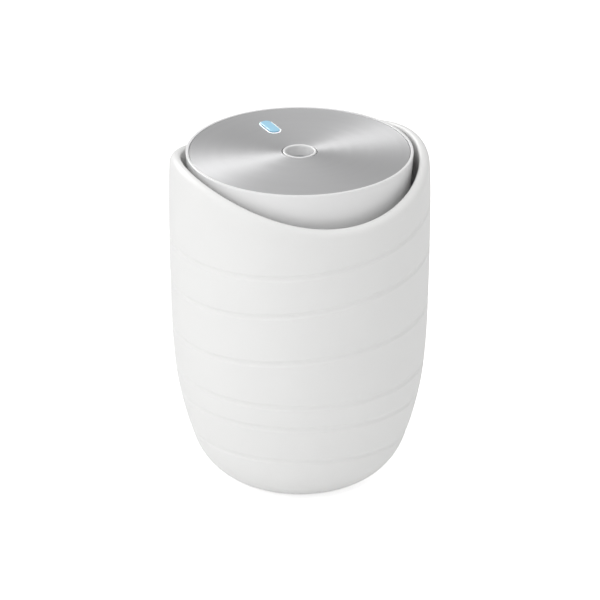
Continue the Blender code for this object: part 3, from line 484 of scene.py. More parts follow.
@dataclass(frozen=True)
class Metal:
    """Bare metal: brushed round or mottled, with brighter worn edges.

    Attributes:
        name: the material's name.
        colour: the base colour.
        roughness: the middle roughness.
        streak: how much the tool lines change the roughness.
        pitch: the tool lines' pitch in metres.
        depth: the tool lines' depth in metres.
        anisotropy: how much the lines stretch a highlight across them.
        turned: whether the lines run round the Z axis.
    """

    name: str
    colour: Colour
    roughness: float
    streak: float = 0.10
    pitch: float = 0.0002
    depth: float = 0.000004
    anisotropy: float = 0.0
    turned: bool = False

    def material(self) -> bpy.types.Material:
        """Builds the material.

        Returns:
            The material.
        """
        paint = Paint(self.name)
        if self.turned:
            lines = paint.effect(Effect.LINES, pitch=self.pitch)
            flat = paint.add(
                "ShaderNodeVectorMath", {0: paint.place, 1: (1.0, 1.0, 0.0)}, operation="MULTIPLY"
            )
            along = paint.add("ShaderNodeVectorMath", {0: flat.outputs[0]}, operation="NORMALIZE")
            paint.tree.links.new(along.outputs[0], paint.shader.inputs["Tangent"])
        else:
            lines = paint.effect(Effect.GRAIN, size=self.pitch)
        drift = paint.effect(Effect.DRIFT, amount=0.05).outputs["Tone"]
        wear = paint.effect(Effect.WEAR, amount=0.5).outputs["Mask"]
        tone = paint.sum("MULTIPLY", lines.outputs["Tone"], self.streak)
        bright = tuple(min(1.0, channel * 1.25) for channel in self.colour)
        colour = paint.blend(wear, paint.tint(self.colour, paint.sum("MULTIPLY", tone, 0.6)), bright)
        rough = paint.chain(
            "ADD", self.roughness, paint.sum("MULTIPLY", tone, 0.5), paint.sum("MULTIPLY", drift, 0.4)
        )
        paint.set(base_color=colour, roughness=rough, metallic=1.0, anisotropic=self.anisotropy)
        paint.bump(lines.outputs["Height"], self.depth)
        return paint.material


@dataclass(frozen=True)
class Lit:
    """Translucent plastic lit from below by its lamp, with painted shade down its side: brightest on top, dim
    down its side.

    Attributes:
        name: the material's name.
        colour: the plastic's colour.
        light: the colour of its light.
        top_glow: how strong the light is on top.
        side_glow: how strong the light is at the foot, turned down as painted shade.
        foot: the height where the painted shade on the side is deepest.
        top: the height where the light is fullest.
    """

    name: str
    colour: Colour
    light: Colour
    top_glow: float
    side_glow: float
    foot: float
    top: float

    def material(self) -> bpy.types.Material:
        """Builds the material.

        Returns:
            The material.
        """
        paint = Paint(self.name)
        height = paint.add("ShaderNodeSeparateXYZ", {0: paint.place}).outputs[2]
        # Glow by height: full on top, turned down towards the foot as painted shade on the side.
        share = paint.add(
            "ShaderNodeMapRange", {0: height, 1: self.foot, 2: self.top, 3: self.side_glow, 4: self.top_glow}
        )
        drift = paint.effect(Effect.DRIFT, size=0.004, amount=0.04).outputs["Tone"]
        grain = paint.effect(Effect.GRAIN, size=0.0004)
        light = paint.tint(self.light, paint.sum("SUBTRACT", share.outputs[0], 1.0))
        paint.set(
            base_color=paint.tint(self.colour, drift), roughness=0.32, coat_weight=0.3, coat_roughness=0.1
        )
        paint.set(emission_color=light, emission_strength=1.0, subsurface_weight=0.3, subsurface_scale=0.001)
        paint.bump(grain.outputs["Height"], 0.000004)
        return paint.material


@dataclass(frozen=True)
class Felt:
    """Pressed fibre: strands along Z, rough, with soft sheen."""

    name: str
    colour: Colour

    def material(self) -> bpy.types.Material:
        """Builds the material.

        Returns:
            The material.
        """
        paint = Paint(self.name)
        stretch = paint.add("ShaderNodeMapping", {0: paint.place, "Scale": (1.0, 1.0, 0.12)})
        strands = paint.add(
            "ShaderNodeTexNoise", {"Vector": stretch.outputs[0], "Scale": 3800.0, "Detail": 4.0}
        )
        drift = paint.effect(Effect.DRIFT, size=0.006, amount=0.08).outputs["Tone"]
        tone = paint.sum("MULTIPLY", paint.sum("SUBTRACT", strands.outputs[0], 0.5), 0.5)
        paint.set(
            base_color=paint.tint(self.colour, paint.sum("ADD", tone, drift)), roughness=0.95,
            sheen_weight=0.4,
        )
        paint.bump(strands.outputs[0], 0.0002)
        return paint.material


@dataclass(frozen=True)
class SolderMask:
    """A printed board: green mask over copper tracks."""

    name: str
    colour: Colour
    track: Colour

    def material(self) -> bpy.types.Material:
        """Builds the material.

        Returns:
            The material.
        """
        paint = Paint(self.name)
        cells = paint.add(
            "ShaderNodeTexVoronoi", {"Vector": paint.place, "Scale": 420.0}, distance="CHEBYCHEV"
        )
        step = paint.sum("PINGPONG", paint.sum("MULTIPLY", cells.outputs["Distance"], 6.0), 0.5)
        tracks = paint.sum("GREATER_THAN", step, 0.32)
        drift = paint.effect(Effect.DRIFT, size=0.01, amount=0.06).outputs["Tone"]
        colour = paint.blend(tracks, paint.tint(self.colour, drift), self.track)
        paint.set(base_color=colour, roughness=0.35, coat_weight=0.4, coat_roughness=0.15)
        paint.bump(tracks, 0.00003)
        return paint.material


Finish = Moulded | Metal | Lit | Felt | SolderMask


class Finishes:
    """The object's finishes, each made once."""

    SHELL = Moulded(
        "shell_white", (0.84, 0.84, 0.832), 0.50, worn=(0.86, 0.86, 0.86), grain=0.0007, depth=0.000012
    )
    HEAD = Moulded(
        "head_white", (0.85, 0.85, 0.85), 0.30, worn=(0.86, 0.86, 0.86), grain=0.0005, depth=0.000006
    )
    PLATE = Metal(
        "spun_aluminium", (0.53, 0.53, 0.535), 0.48, streak=0.25, depth=0.0000015, anisotropy=0.66,
        turned=True,
    )
    TANK = Moulded("tank_plastic", (0.86, 0.88, 0.90), 0.28, wear=0.04, depth=0.000005)
    FOOT = Moulded("foot_rubber", (0.04, 0.04, 0.042), 0.78, worn=(0.10, 0.10, 0.10), wear=0.5, grain=0.0004)
    SILICONE = Moulded(
        "silicone", (0.70, 0.73, 0.75), 0.55, worn=(0.8, 0.8, 0.8), subsurface=0.3, depth=0.000006
    )
    STEEL = Metal("bright_steel", (0.62, 0.62, 0.63), 0.26)
    TURNED_STEEL = Metal("turned_steel", (0.66, 0.66, 0.67), 0.22, turned=True, anisotropy=0.5)
    CERAMIC = Moulded("ceramic", (0.74, 0.70, 0.60), 0.55, worn=(0.85, 0.82, 0.74), grain=0.0003, drift=0.05)
    CLAMP = Moulded(
        "clamp_plastic", (0.06, 0.06, 0.065), 0.5, worn=(0.16, 0.16, 0.17), wear=0.4, grain=0.0005
    )
    HOLDER = Moulded("holder_white", (0.82, 0.82, 0.80), 0.42, wear=0.08, depth=0.000006)
    FELT = Felt("wick_felt", (0.86, 0.84, 0.78))
    BOARD = SolderMask("board_green", (0.015, 0.13, 0.05), (0.03, 0.24, 0.09))
    BLACK = Moulded(
        "component_black", (0.018, 0.018, 0.02), 0.48, worn=(0.07, 0.07, 0.07), wear=0.4, grain=0.0003
    )
    FERRITE = Moulded(
        "coil_ferrite", (0.07, 0.07, 0.075), 0.6, worn=(0.15, 0.15, 0.15), wear=0.5, grain=0.0003
    )
    COPPER = Metal("coil_copper", (0.72, 0.32, 0.16), 0.3)
    GOLD = Metal("contact_gold", (0.83, 0.62, 0.28), 0.22)
    LAMP = Moulded("led_white", (0.90, 0.90, 0.80), 0.3, coat=0.5, glow=1.2)
    RED = Moulded("lead_red", (0.50, 0.02, 0.02), 0.4, worn=(0.6, 0.1, 0.1), coat=0.2)

    _made: dict[str, bpy.types.Material] = {}

    @classmethod
    def get(cls, finish: Finish) -> bpy.types.Material:
        """Returns the finish's material, building it the first time.

        Args:
            finish: the finish.

        Returns:
            Its material.
        """
        if finish.name not in cls._made:
            cls._made[finish.name] = finish.material()
        return cls._made[finish.name]


# ------------------------------------------------------------------ mesh making


def rounded(corners: Sequence[Corner], closed: bool = True, steps: int = 4) -> Section:
    """Rounds a section's corners and adds a supporting point beside each round.

    Args:
        corners: the section's corners in order.
        closed: whether the last corner joins the first.
        steps: how many facets each round gets.

    Returns:
        Points of radius and height.
    """
    points: Section = []
    count = len(corners)
    for number, corner in enumerate(corners):
        here = Vector((corner.radius, corner.height))
        ends = not closed and number in (0, count - 1)
        if ends or corner.rounding <= 0.0:
            points.append((here.x, here.y))
            continue
        before, after = corners[number - 1], corners[(number + 1) % count]
        back = Vector((before.radius, before.height)) - here
        on = Vector((after.radius, after.height)) - here
        cut = min(corner.rounding, 0.45 * back.length, 0.45 * on.length)
        first, last = here + back.normalized() * cut, here + on.normalized() * cut
        support = 0.4 * cut
        if back.length > 4 * cut:
            points.append(tuple(first + back.normalized() * support))
        for step in range(steps + 1):
            share = step / steps
            curve = first * (1 - share) ** 2 + here * 2 * share * (1 - share) + last * share**2
            points.append((curve.x, curve.y))
        if on.length > 4 * cut:
            points.append(tuple(last + on.normalized() * support))
    return points


def loft(mesh: bmesh.types.BMesh, loops: Sequence[Loop], closed: bool = False) -> None:
    """Adds faces through loops of points to a mesh.

    Args:
        mesh: the mesh to add to.
        loops: the loops, each of the same count, or of one point for a pole.
        closed: whether the last loop joins the first.
    """
    rings = [[mesh.verts.new(point) for point in loop] for loop in loops]
    pairs = list(zip(rings, rings[1:]))
    if closed:
        pairs.append((rings[-1], rings[0]))
    for lower, upper in pairs:
        count = max(len(lower), len(upper))
        for here in range(count):
            after = (here + 1) % count
            corners = [lower[here % len(lower)], lower[after % len(lower)]]
            corners += [upper[after % len(upper)], upper[here % len(upper)]]
            mesh.faces.new(list(dict.fromkeys(corners)))
    if not closed:
        for ring in (rings[0], rings[-1]):
            if len(ring) > 1:
                mesh.faces.new(ring)


@dataclass(frozen=True)
class Round:
    """A round outline."""

    radius: float
    x: float = 0.0
    y: float = 0.0
    count: int = 48

    def points(self, grow: float, height: float) -> Loop:
        """Points round the outline, grown outwards, at a height.

        Args:
            grow: how far it is moved outwards.
            height: its height.

        Returns:
            The points, in order.
        """
        radius = self.radius + grow
        if radius <= 0.0:
            return [(self.x, self.y, height)]
        turns = [FULL_TURN * step / self.count for step in range(self.count)]
        return [(self.x + radius * math.sin(t), self.y - radius * math.cos(t), height) for t in turns]


@dataclass(frozen=True)
class Oblong:
    """An outline with straight sides and round ends, its long way along Y, or X if it lies across."""

    length: float
    width: float
    y: float = 0.0
    across: bool = False
    per_end: int = 17

    def points(self, grow: float, height: float) -> Loop:
        """Points round the outline, grown outwards, at a height.

        Args:
            grow: how far it is moved outwards.
            height: its height.

        Returns:
            The points, in order.
        """
        half = (self.length - self.width) / 2
        radius = max(self.width / 2 + grow, 0.00001)
        found = []
        for end, start in ((half, 0.0), (-half, math.pi)):
            for step in range(self.per_end + 1):
                turn = start + math.pi * step / self.per_end
                found.append((radius * math.cos(turn), end + radius * math.sin(turn)))
        if self.across:
            found = [(y, -x) for x, y in found]
        return [(x, y + self.y, height) for x, y in found]


@dataclass(frozen=True)
class Shape:
    """An outline given by its corners, which grows from its middle."""

    corners: tuple[tuple[float, float], ...]

    def points(self, grow: float, height: float) -> Loop:
        """Points round the outline, each moved outwards, at a height.

        Args:
            grow: how far it is moved outwards.
            height: its height.

        Returns:
            The points, in order.
        """
        middle = Vector((0.0, 0.0))
        for corner in self.corners:
            middle += Vector(corner) / len(self.corners)
        moved = []
        for corner in self.corners:
            out = (Vector(corner) - middle).normalized() * grow
            moved.append((corner[0] + out.x, corner[1] + out.y, height))
        return moved


Outline = Round | Oblong | Shape


def mark_edges(mesh: bpy.types.Mesh) -> None:
    """Writes how sharply each vertex stands out, from 0 to 1, in the attribute that wear reads.

    Args:
        mesh: the mesh that gets the attribute.
    """
    work = bmesh.new()
    work.from_mesh(mesh)
    values = []
    for vertex in work.verts:
        turns = [edge.calc_face_angle_signed(0.0) for edge in vertex.link_edges if edge.is_manifold]
        values.append(max(0.0, min(1.0, (max(turns, default=0.0) - SOFT_BEND) / SHARP_BEND)))
    work.free()
    attribute = mesh.attributes.new("edge", "FLOAT", "POINT")
    attribute.data.foreach_set("value", values)


def make_object(name: str, mesh: bmesh.types.BMesh, keep_facing: bool = False) -> bpy.types.Object:
    """Makes an object of a mesh with its faces pointing out.

    Args:
        name: the object's name.
        mesh: the mesh, which is used up.
        keep_facing: whether the faces already point out.

    Returns:
        The new object.
    """
    bmesh.ops.remove_doubles(mesh, verts=mesh.verts, dist=1e-7)
    if not keep_facing:
        bmesh.ops.recalc_face_normals(mesh, faces=mesh.faces)
    data = bpy.data.meshes.new(name)
    mesh.to_mesh(data)
    mesh.free()
    item = bpy.data.objects.new(name, data)
    bpy.context.scene.collection.objects.link(item)
    return item


def settle(item: bpy.types.Object) -> bpy.types.Object:
    """Applies an object's modifiers, or makes a curve a mesh, and returns the plain mesh object.

    Args:
        item: the object.

    Returns:
        The plain mesh object.
    """
    graph = bpy.context.evaluated_depsgraph_get()
    data = bpy.data.meshes.new_from_object(
        item.evaluated_get(graph), preserve_all_data_layers=True, depsgraph=graph
    )
    if item.type == "MESH":
        item.modifiers.clear()
        item.data = data
        return item
    name = item.name
    bpy.data.objects.remove(item)
    plain = bpy.data.objects.new(name, data)
    bpy.context.scene.collection.objects.link(plain)
    return plain


def cut_away(item: bpy.types.Object, cutters: Sequence[bpy.types.Object]) -> None:
    """Cuts closed shapes out of an object and removes them.

    Args:
        item: the object that is cut.
        cutters: the closed shapes, which are removed afterwards.
    """
    for cutter in cutters:
        change = item.modifiers.new(cutter.name, "BOOLEAN")
        change.operation = "DIFFERENCE"
        change.solver = "EXACT"
        change.object = cutter
    settle(item)
    for cutter in cutters:
        bpy.data.objects.remove(cutter)


def join_into(name: str, parts: Sequence[bpy.types.Object]) -> bpy.types.Object:
    """Puts several mesh objects into one.

    Args:
        name: the new object's name.
        parts: the objects, which are used up. Their materials are kept.

    Returns:
        The joined object.
    """
    work = bmesh.new()
    materials: list[bpy.types.Material] = []
    for part in parts:
        before = len(work.faces)
        work.from_mesh(part.data)
        work.faces.ensure_lookup_table()
        for face in work.faces[before:]:
            source = part.data.materials[face.material_index] if part.data.materials else None
            if source not in materials:
                materials.append(source)
            face.material_index = materials.index(source)
        bpy.data.objects.remove(part)
    data = bpy.data.meshes.new(name)
    work.to_mesh(data)
    work.free()
    for material in materials:
        data.materials.append(material)
    item = bpy.data.objects.new(name, data)
    bpy.context.scene.collection.objects.link(item)
    return item


def dress(item: bpy.types.Object, finish: Finish) -> bpy.types.Object:
    """Gives an object one finish and returns it.

    Args:
        item: the object.
        finish: the finish it gets.

    Returns:
        The same object.
    """
    item.data.materials.clear()
    item.data.materials.append(Finishes.get(finish))
    return item


def turned(
    name: str, corners: Sequence[Corner], x: float = 0.0, y: float = 0.0, count: int = 144, steps: int = 4
) -> bpy.types.Object:
    """Turns a section round an upright axis.

    Args:
        name: the object's name.
        corners: the section. One that starts on the axis ends on it too; any other is closed on itself.
        x: the axis's place.
        y: the axis's place.
        count: facets round the axis.
        steps: facets in each rounded corner.

    Returns:
        The new object.
    """
    closed = corners[0].radius > 0.0
    section = rounded(corners, closed, steps)
    mesh = bmesh.new()
    outline = Round(0.0, x, y, count)
    loft(mesh, [outline.points(radius, height) for radius, height in section], closed)
    return make_object(name, mesh)


def drawn(name: str, outline: Outline, corners: Sequence[Corner], closed: bool = False) -> bpy.types.Object:
    """Lofts an outline through a section, where each corner's radius is how far the outline grows.

    Args:
        name: the object's name.
        outline: the shape in plan.
        corners: growth and height, in order.
        closed: whether the section closes on itself, as round a frame.

    Returns:
        The new object.
    """
    mesh = bmesh.new()
    section = rounded(corners, closed)
    loft(mesh, [outline.points(grow, height) for grow, height in section], closed)
    return make_object(name, mesh)


def sheet_with_holes(
    name: str, outer: Outline, holes: Sequence[Outline], bottom: float, top: float, edge: float
) -> bpy.types.Object:
    """Makes a flat plate with holes, its edges lightly rounded and its faces flat.

    Args:
        name: the object's name.
        outer: the plate's outline.
        holes: the holes' outlines.
        bottom: the lower face's height.
        top: the upper face's height.
        edge: how widely the edges are rounded.

    Returns:
        The new object.
    """
    mesh = bmesh.new()
    rims: dict[float, list[bmesh.types.BMEdge]] = {bottom: [], top: []}
    for outline, side in [(outer, -1.0)] + [(hole, 1.0) for hole in holes]:
        corners = [Corner(side * edge, bottom), Corner(0.0, bottom, edge), Corner(0.0, top, edge)]
        section = [(side * edge, bottom)]
        for radius, height in rounded(corners + [Corner(side * edge, top)], False)[1:-1]:
            section.append((radius if side < 0 else abs(radius), height))
        section.append((side * edge, top))
        rings = [[mesh.verts.new(point) for point in outline.points(grow, z)] for grow, z in section]
        for lower, upper in zip(rings, rings[1:]):
            for here in range(len(lower)):
                after = (here + 1) % len(lower)
                mesh.faces.new([lower[here], lower[after], upper[after], upper[here]])
        for ring, height in ((rings[0], bottom), (rings[-1], top)):
            for here in range(len(ring)):
                found = mesh.edges.get((ring[here], ring[(here + 1) % len(ring)]))
                found.smooth = False
                rims[height].append(found)
    for height, edges in rims.items():
        bmesh.ops.triangle_fill(
            mesh, use_beauty=True, use_dissolve=False, edges=edges, normal=(0.0, 0.0, 1.0)
        )
    return make_object(name, mesh)


def box_shape(name: str, low: Point, high: Point, edge: float = 0.0) -> bpy.types.Object:
    """Makes a block with rounded upright and top edges.

    Args:
        name: the object's name.
        low: its lowest corner.
        high: its highest corner.
        edge: how widely its edges are rounded.

    Returns:
        The new object.
    """
    mesh = bmesh.new()
    bmesh.ops.create_cube(mesh, size=1.0)
    for vertex in mesh.verts:
        vertex.co = Vector((low[i] if vertex.co[i] < 0 else high[i] for i in range(3)))
    if edge:
        bmesh.ops.bevel(mesh, geom=mesh.edges[:], offset=edge, segments=3, profile=0.5, affect="EDGES")
    return make_object(name, mesh)


def deliver(
    item: bpy.types.Object, body: Body, replaces: Sequence[str] = (), sharp: float = 40.0
) -> bpy.types.Object:
    """Finishes a piece: shades it, marks its edges, and puts it on its body.

    Args:
        item: the mesh object, with its materials.
        body: the body that it rides on.
        replaces: the nodes that it stands for.
        sharp: the angle in degrees above which an edge stays crisp.

    Returns:
        The same object.
    """
    item.data.shade_smooth()
    kept = [edge.use_edge_sharp for edge in item.data.edges]
    item.data.set_sharp_from_angle(angle=math.radians(sharp))
    for edge, was_sharp in zip(item.data.edges, kept):
        if was_sharp:
            edge.use_edge_sharp = True
    mark_edges(item.data)
    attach(item, body.value)
    if replaces:
        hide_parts(*replaces)
    LOG.info("%s rides on %s: %d faces", item.name, body.value, len(item.data.polygons))
    return item


# ------------------------------------------------------------------ geometry trees


def run_tree(item: bpy.types.Object, graph: Graph, values: dict[str, Any]) -> bpy.types.Object:
    """Runs a geometry tree on an object and keeps the result as a plain mesh.

    Args:
        item: the object that the tree starts from.
        graph: the tree.
        values: its inputs, by name.

    Returns:
        The same object.
    """
    change = item.modifiers.new(graph.tree.name, "NODES")
    change.node_group = graph.tree
    for socket in graph.tree.interface.items_tree:
        if socket.item_type == "SOCKET" and socket.in_out == "INPUT" and socket.name in values:
            change[socket.identifier] = values[socket.name]
    return settle(item)


def close_tree(
    graph: Graph, geometry: bpy.types.NodeSocket, start: bpy.types.Node, end: bpy.types.Node
) -> Graph:
    """Ends a geometry tree in Realize Instances and Set Material and returns it.

    Args:
        graph: the tree.
        geometry: the socket that holds the shape.
        start: the group input, which gives the material.
        end: the group output.

    Returns:
        The same tree.
    """
    plain = graph.add("GeometryNodeRealizeInstances", {0: geometry})
    painted = graph.add(
        "GeometryNodeSetMaterial", {0: plain.outputs[0], "Material": start.outputs["Material"]}
    )
    graph.tree.links.new(painted.outputs[0], end.inputs[0])
    return graph


def copies_tree() -> Graph:
    """A tree that puts a copy of a piece at each point, turned by the point's spin and sized by its size.

    Returns:
        The tree.
    """
    graph = open_group(
        "copies_at_points", "GeometryNodeTree",
        {"Geometry": "geometry", "Piece": "object", "Scale": 1.0, "Material": "material"},
        {"Geometry": "geometry"},
    )
    start, end = graph.ends()
    piece = graph.add("GeometryNodeObjectInfo", {"Object": start.outputs["Piece"]})
    spin = graph.add("FunctionNodeEulerToRotation", {0: graph.attribute("spin", "FLOAT_VECTOR")})
    size = graph.add("ShaderNodeVectorMath", {0: graph.attribute("size", "FLOAT_VECTOR")}, operation="SCALE")
    graph.tree.links.new(start.outputs["Scale"], size.inputs["Scale"])
    placed = graph.add(
        "GeometryNodeInstanceOnPoints",
        {
            "Points": start.outputs["Geometry"], "Instance": piece.outputs["Geometry"],
            "Rotation": spin.outputs[0], "Scale": size.outputs[0],
        },
    )
    return close_tree(graph, placed.outputs[0], start, end)


def ring_tree() -> Graph:
    """A tree that repeats a piece evenly round the Z axis.

    Returns:
        The tree.
    """
    graph = open_group(
        "copies_round_a_ring", "GeometryNodeTree",
        {
            "Geometry": "geometry", "Piece": "object", "Count": "int", "Radius": 0.01, "Height": 0.0,
            "Material": "material",
        },
        {"Geometry": "geometry"},
    )
    start, end = graph.ends()
    ring = graph.add(
        "GeometryNodeMeshCircle", {"Vertices": start.outputs["Count"], "Radius": start.outputs["Radius"]}
    )
    lift = graph.add("ShaderNodeCombineXYZ", {2: start.outputs["Height"]})
    raised = graph.add("GeometryNodeTransform", {"Geometry": ring.outputs[0], "Translation": lift.outputs[0]})
    step = graph.sum("DIVIDE", FULL_TURN, start.outputs["Count"])
    turn = graph.sum("MULTIPLY", graph.add("GeometryNodeInputIndex").outputs[0], step)
    spin = graph.add(
        "FunctionNodeEulerToRotation", {0: graph.add("ShaderNodeCombineXYZ", {2: turn}).outputs[0]}
    )
    piece = graph.add("GeometryNodeObjectInfo", {"Object": start.outputs["Piece"]})
    placed = graph.add(
        "GeometryNodeInstanceOnPoints",
        {"Points": raised.outputs[0], "Instance": piece.outputs["Geometry"], "Rotation": spin.outputs[0]},
    )
    return close_tree(graph, placed.outputs[0], start, end)


def coil_tree() -> Graph:
    """A tree that winds round wire into a spring with closed ends.

    Returns:
        The tree.
    """
    graph = open_group(
        "coiled_wire", "GeometryNodeTree",
        {
            "Geometry": "geometry", "Turns": 5.0, "Radius": 0.003, "Foot": 0.0, "Length": 0.01,
            "Wire": 0.0003, "Material": "material",
        },
        {"Geometry": "geometry"},
    )
    start, end = graph.ends()
    line = graph.add("GeometryNodeMeshLine", {"Count": 240})
    share = graph.sum("DIVIDE", graph.add("GeometryNodeInputIndex").outputs[0], 239.0)
    turn = graph.chain("MULTIPLY", share, start.outputs["Turns"], FULL_TURN)
    rise = graph.add(
        "ShaderNodeMapRange", {0: share, 1: 0.12, 2: 0.88, 3: 0.0, 4: 1.0}, interpolation_type="SMOOTHSTEP"
    )
    closed_ends = graph.sum(
        "ADD", graph.sum("MULTIPLY", rise.outputs[0], 0.8), graph.sum("MULTIPLY", share, 0.2)
    )
    height = graph.sum(
        "ADD", start.outputs["Foot"], graph.sum("MULTIPLY", closed_ends, start.outputs["Length"])
    )
    place = graph.add(
        "ShaderNodeCombineXYZ",
        {
            0: graph.sum("MULTIPLY", graph.sum("SINE", turn), start.outputs["Radius"]),
            1: graph.sum("MULTIPLY", graph.sum("COSINE", turn), start.outputs["Radius"]), 2: height,
        },
    )
    moved = graph.add("GeometryNodeSetPosition", {"Geometry": line.outputs[0], "Position": place.outputs[0]})
    curve = graph.add("GeometryNodeMeshToCurve", {0: moved.outputs[0]})
    ring = graph.add("GeometryNodeCurvePrimitiveCircle", {"Resolution": 12, "Radius": start.outputs["Wire"]})
    wire = graph.add(
        "GeometryNodeCurveToMesh", {
            "Curve": curve.outputs[0], "Profile Curve": ring.outputs[0], "Fill Caps": True
        }
    )
    return close_tree(graph, wire.outputs[0], start, end)


class Copies:
    """Repeats a small piece at chosen points or round a ring."""

    _trees: dict[str, Graph] = {}

    @classmethod
    def tree(cls, name: str, build: Callable[[], Graph]) -> Graph:
        """Returns a tree, building it the first time.

        Args:
            name: the tree's name.
            build: what builds it.

        Returns:
            The tree.
        """
        if name not in cls._trees:
            cls._trees[name] = build()
        return cls._trees[name]

    @classmethod
    def at(
        cls, name: str, piece: bpy.types.Object, places: Sequence[Point], finish: Finish,
        spins: Sequence[Point] = (), sizes: Sequence[Point] = (),
    ) -> bpy.types.Object:
        """Puts copies of a piece at points and removes the piece.

        Args:
            name: the new object's name.
            piece: the piece to repeat, standing at the origin.
            places: where the copies go.
            finish: their finish.
            spins: each copy's turn about X, Y and Z.
            sizes: each copy's scale.

        Returns:
            The object that holds every copy.
        """
        data = bpy.data.meshes.new(name)
        data.from_pydata(places, [], [])
        for title, values, usual in (("spin", spins, (0.0, 0.0, 0.0)), ("size", sizes, (1.0, 1.0, 1.0))):
            attribute = data.attributes.new(title, "FLOAT_VECTOR", "POINT")
            filled = list(values) or [usual] * len(places)
            attribute.data.foreach_set("vector", [number for value in filled for number in value])
        item = bpy.data.objects.new(name, data)
        bpy.context.scene.collection.objects.link(item)
        values = {"Piece": piece, "Scale": 1.0, "Material": Finishes.get(finish)}
        run_tree(item, cls.tree("copies", copies_tree), values)
        bpy.data.objects.remove(piece)
        return item

    @classmethod
    def round(
        cls, name: str, piece: bpy.types.Object, count: int, radius: float, height: float, finish: Finish
    ) -> bpy.types.Object:
        """Repeats a piece evenly round the axis and removes it.

        Args:
            name: the new object's name.
            piece: the piece to repeat, standing at the origin and facing +X.
            count: how many copies.
            radius: the ring's radius.
            height: the ring's height.
            finish: their finish.

        Returns:
            The object that holds every copy.
        """
        item = make_object(name, bmesh.new())
        values = {
            "Piece": piece, "Count": count, "Radius": radius, "Height": height,
            "Material": Finishes.get(finish),
        }
        run_tree(item, cls.tree("ring", ring_tree), values)
        bpy.data.objects.remove(piece)
        return item


# ------------------------------------------------------------------ the shell


class Arc(NamedTuple):
    """One arc of the barrel's wall: its radius, and the wall's angle to the horizontal where it ends."""

    radius: float
    end: float


class Groove(NamedTuple):
    """A groove's mean height, its rise towards +X, and its rise towards both sides."""

    mean: float
    rise: float
    sides: float


class Row(NamedTuple):
    """One row of the shell's mesh, as the rule reads it.

    The row's wall height is mean + rise sin - sides cos 2 + follow times the rim's wave. Its radius is
    reach times the wall's radius there, moved in by inset square to the wall, less depth and groove.
    """

    mean: float
    rise: float = 0.0
    sides: float = 0.0
    follow: float = 0.0
    inset: float = 0.0
    depth: float = 0.0
    groove: float = 0.0
    lift: float = 0.0
    reach: float = 1.0


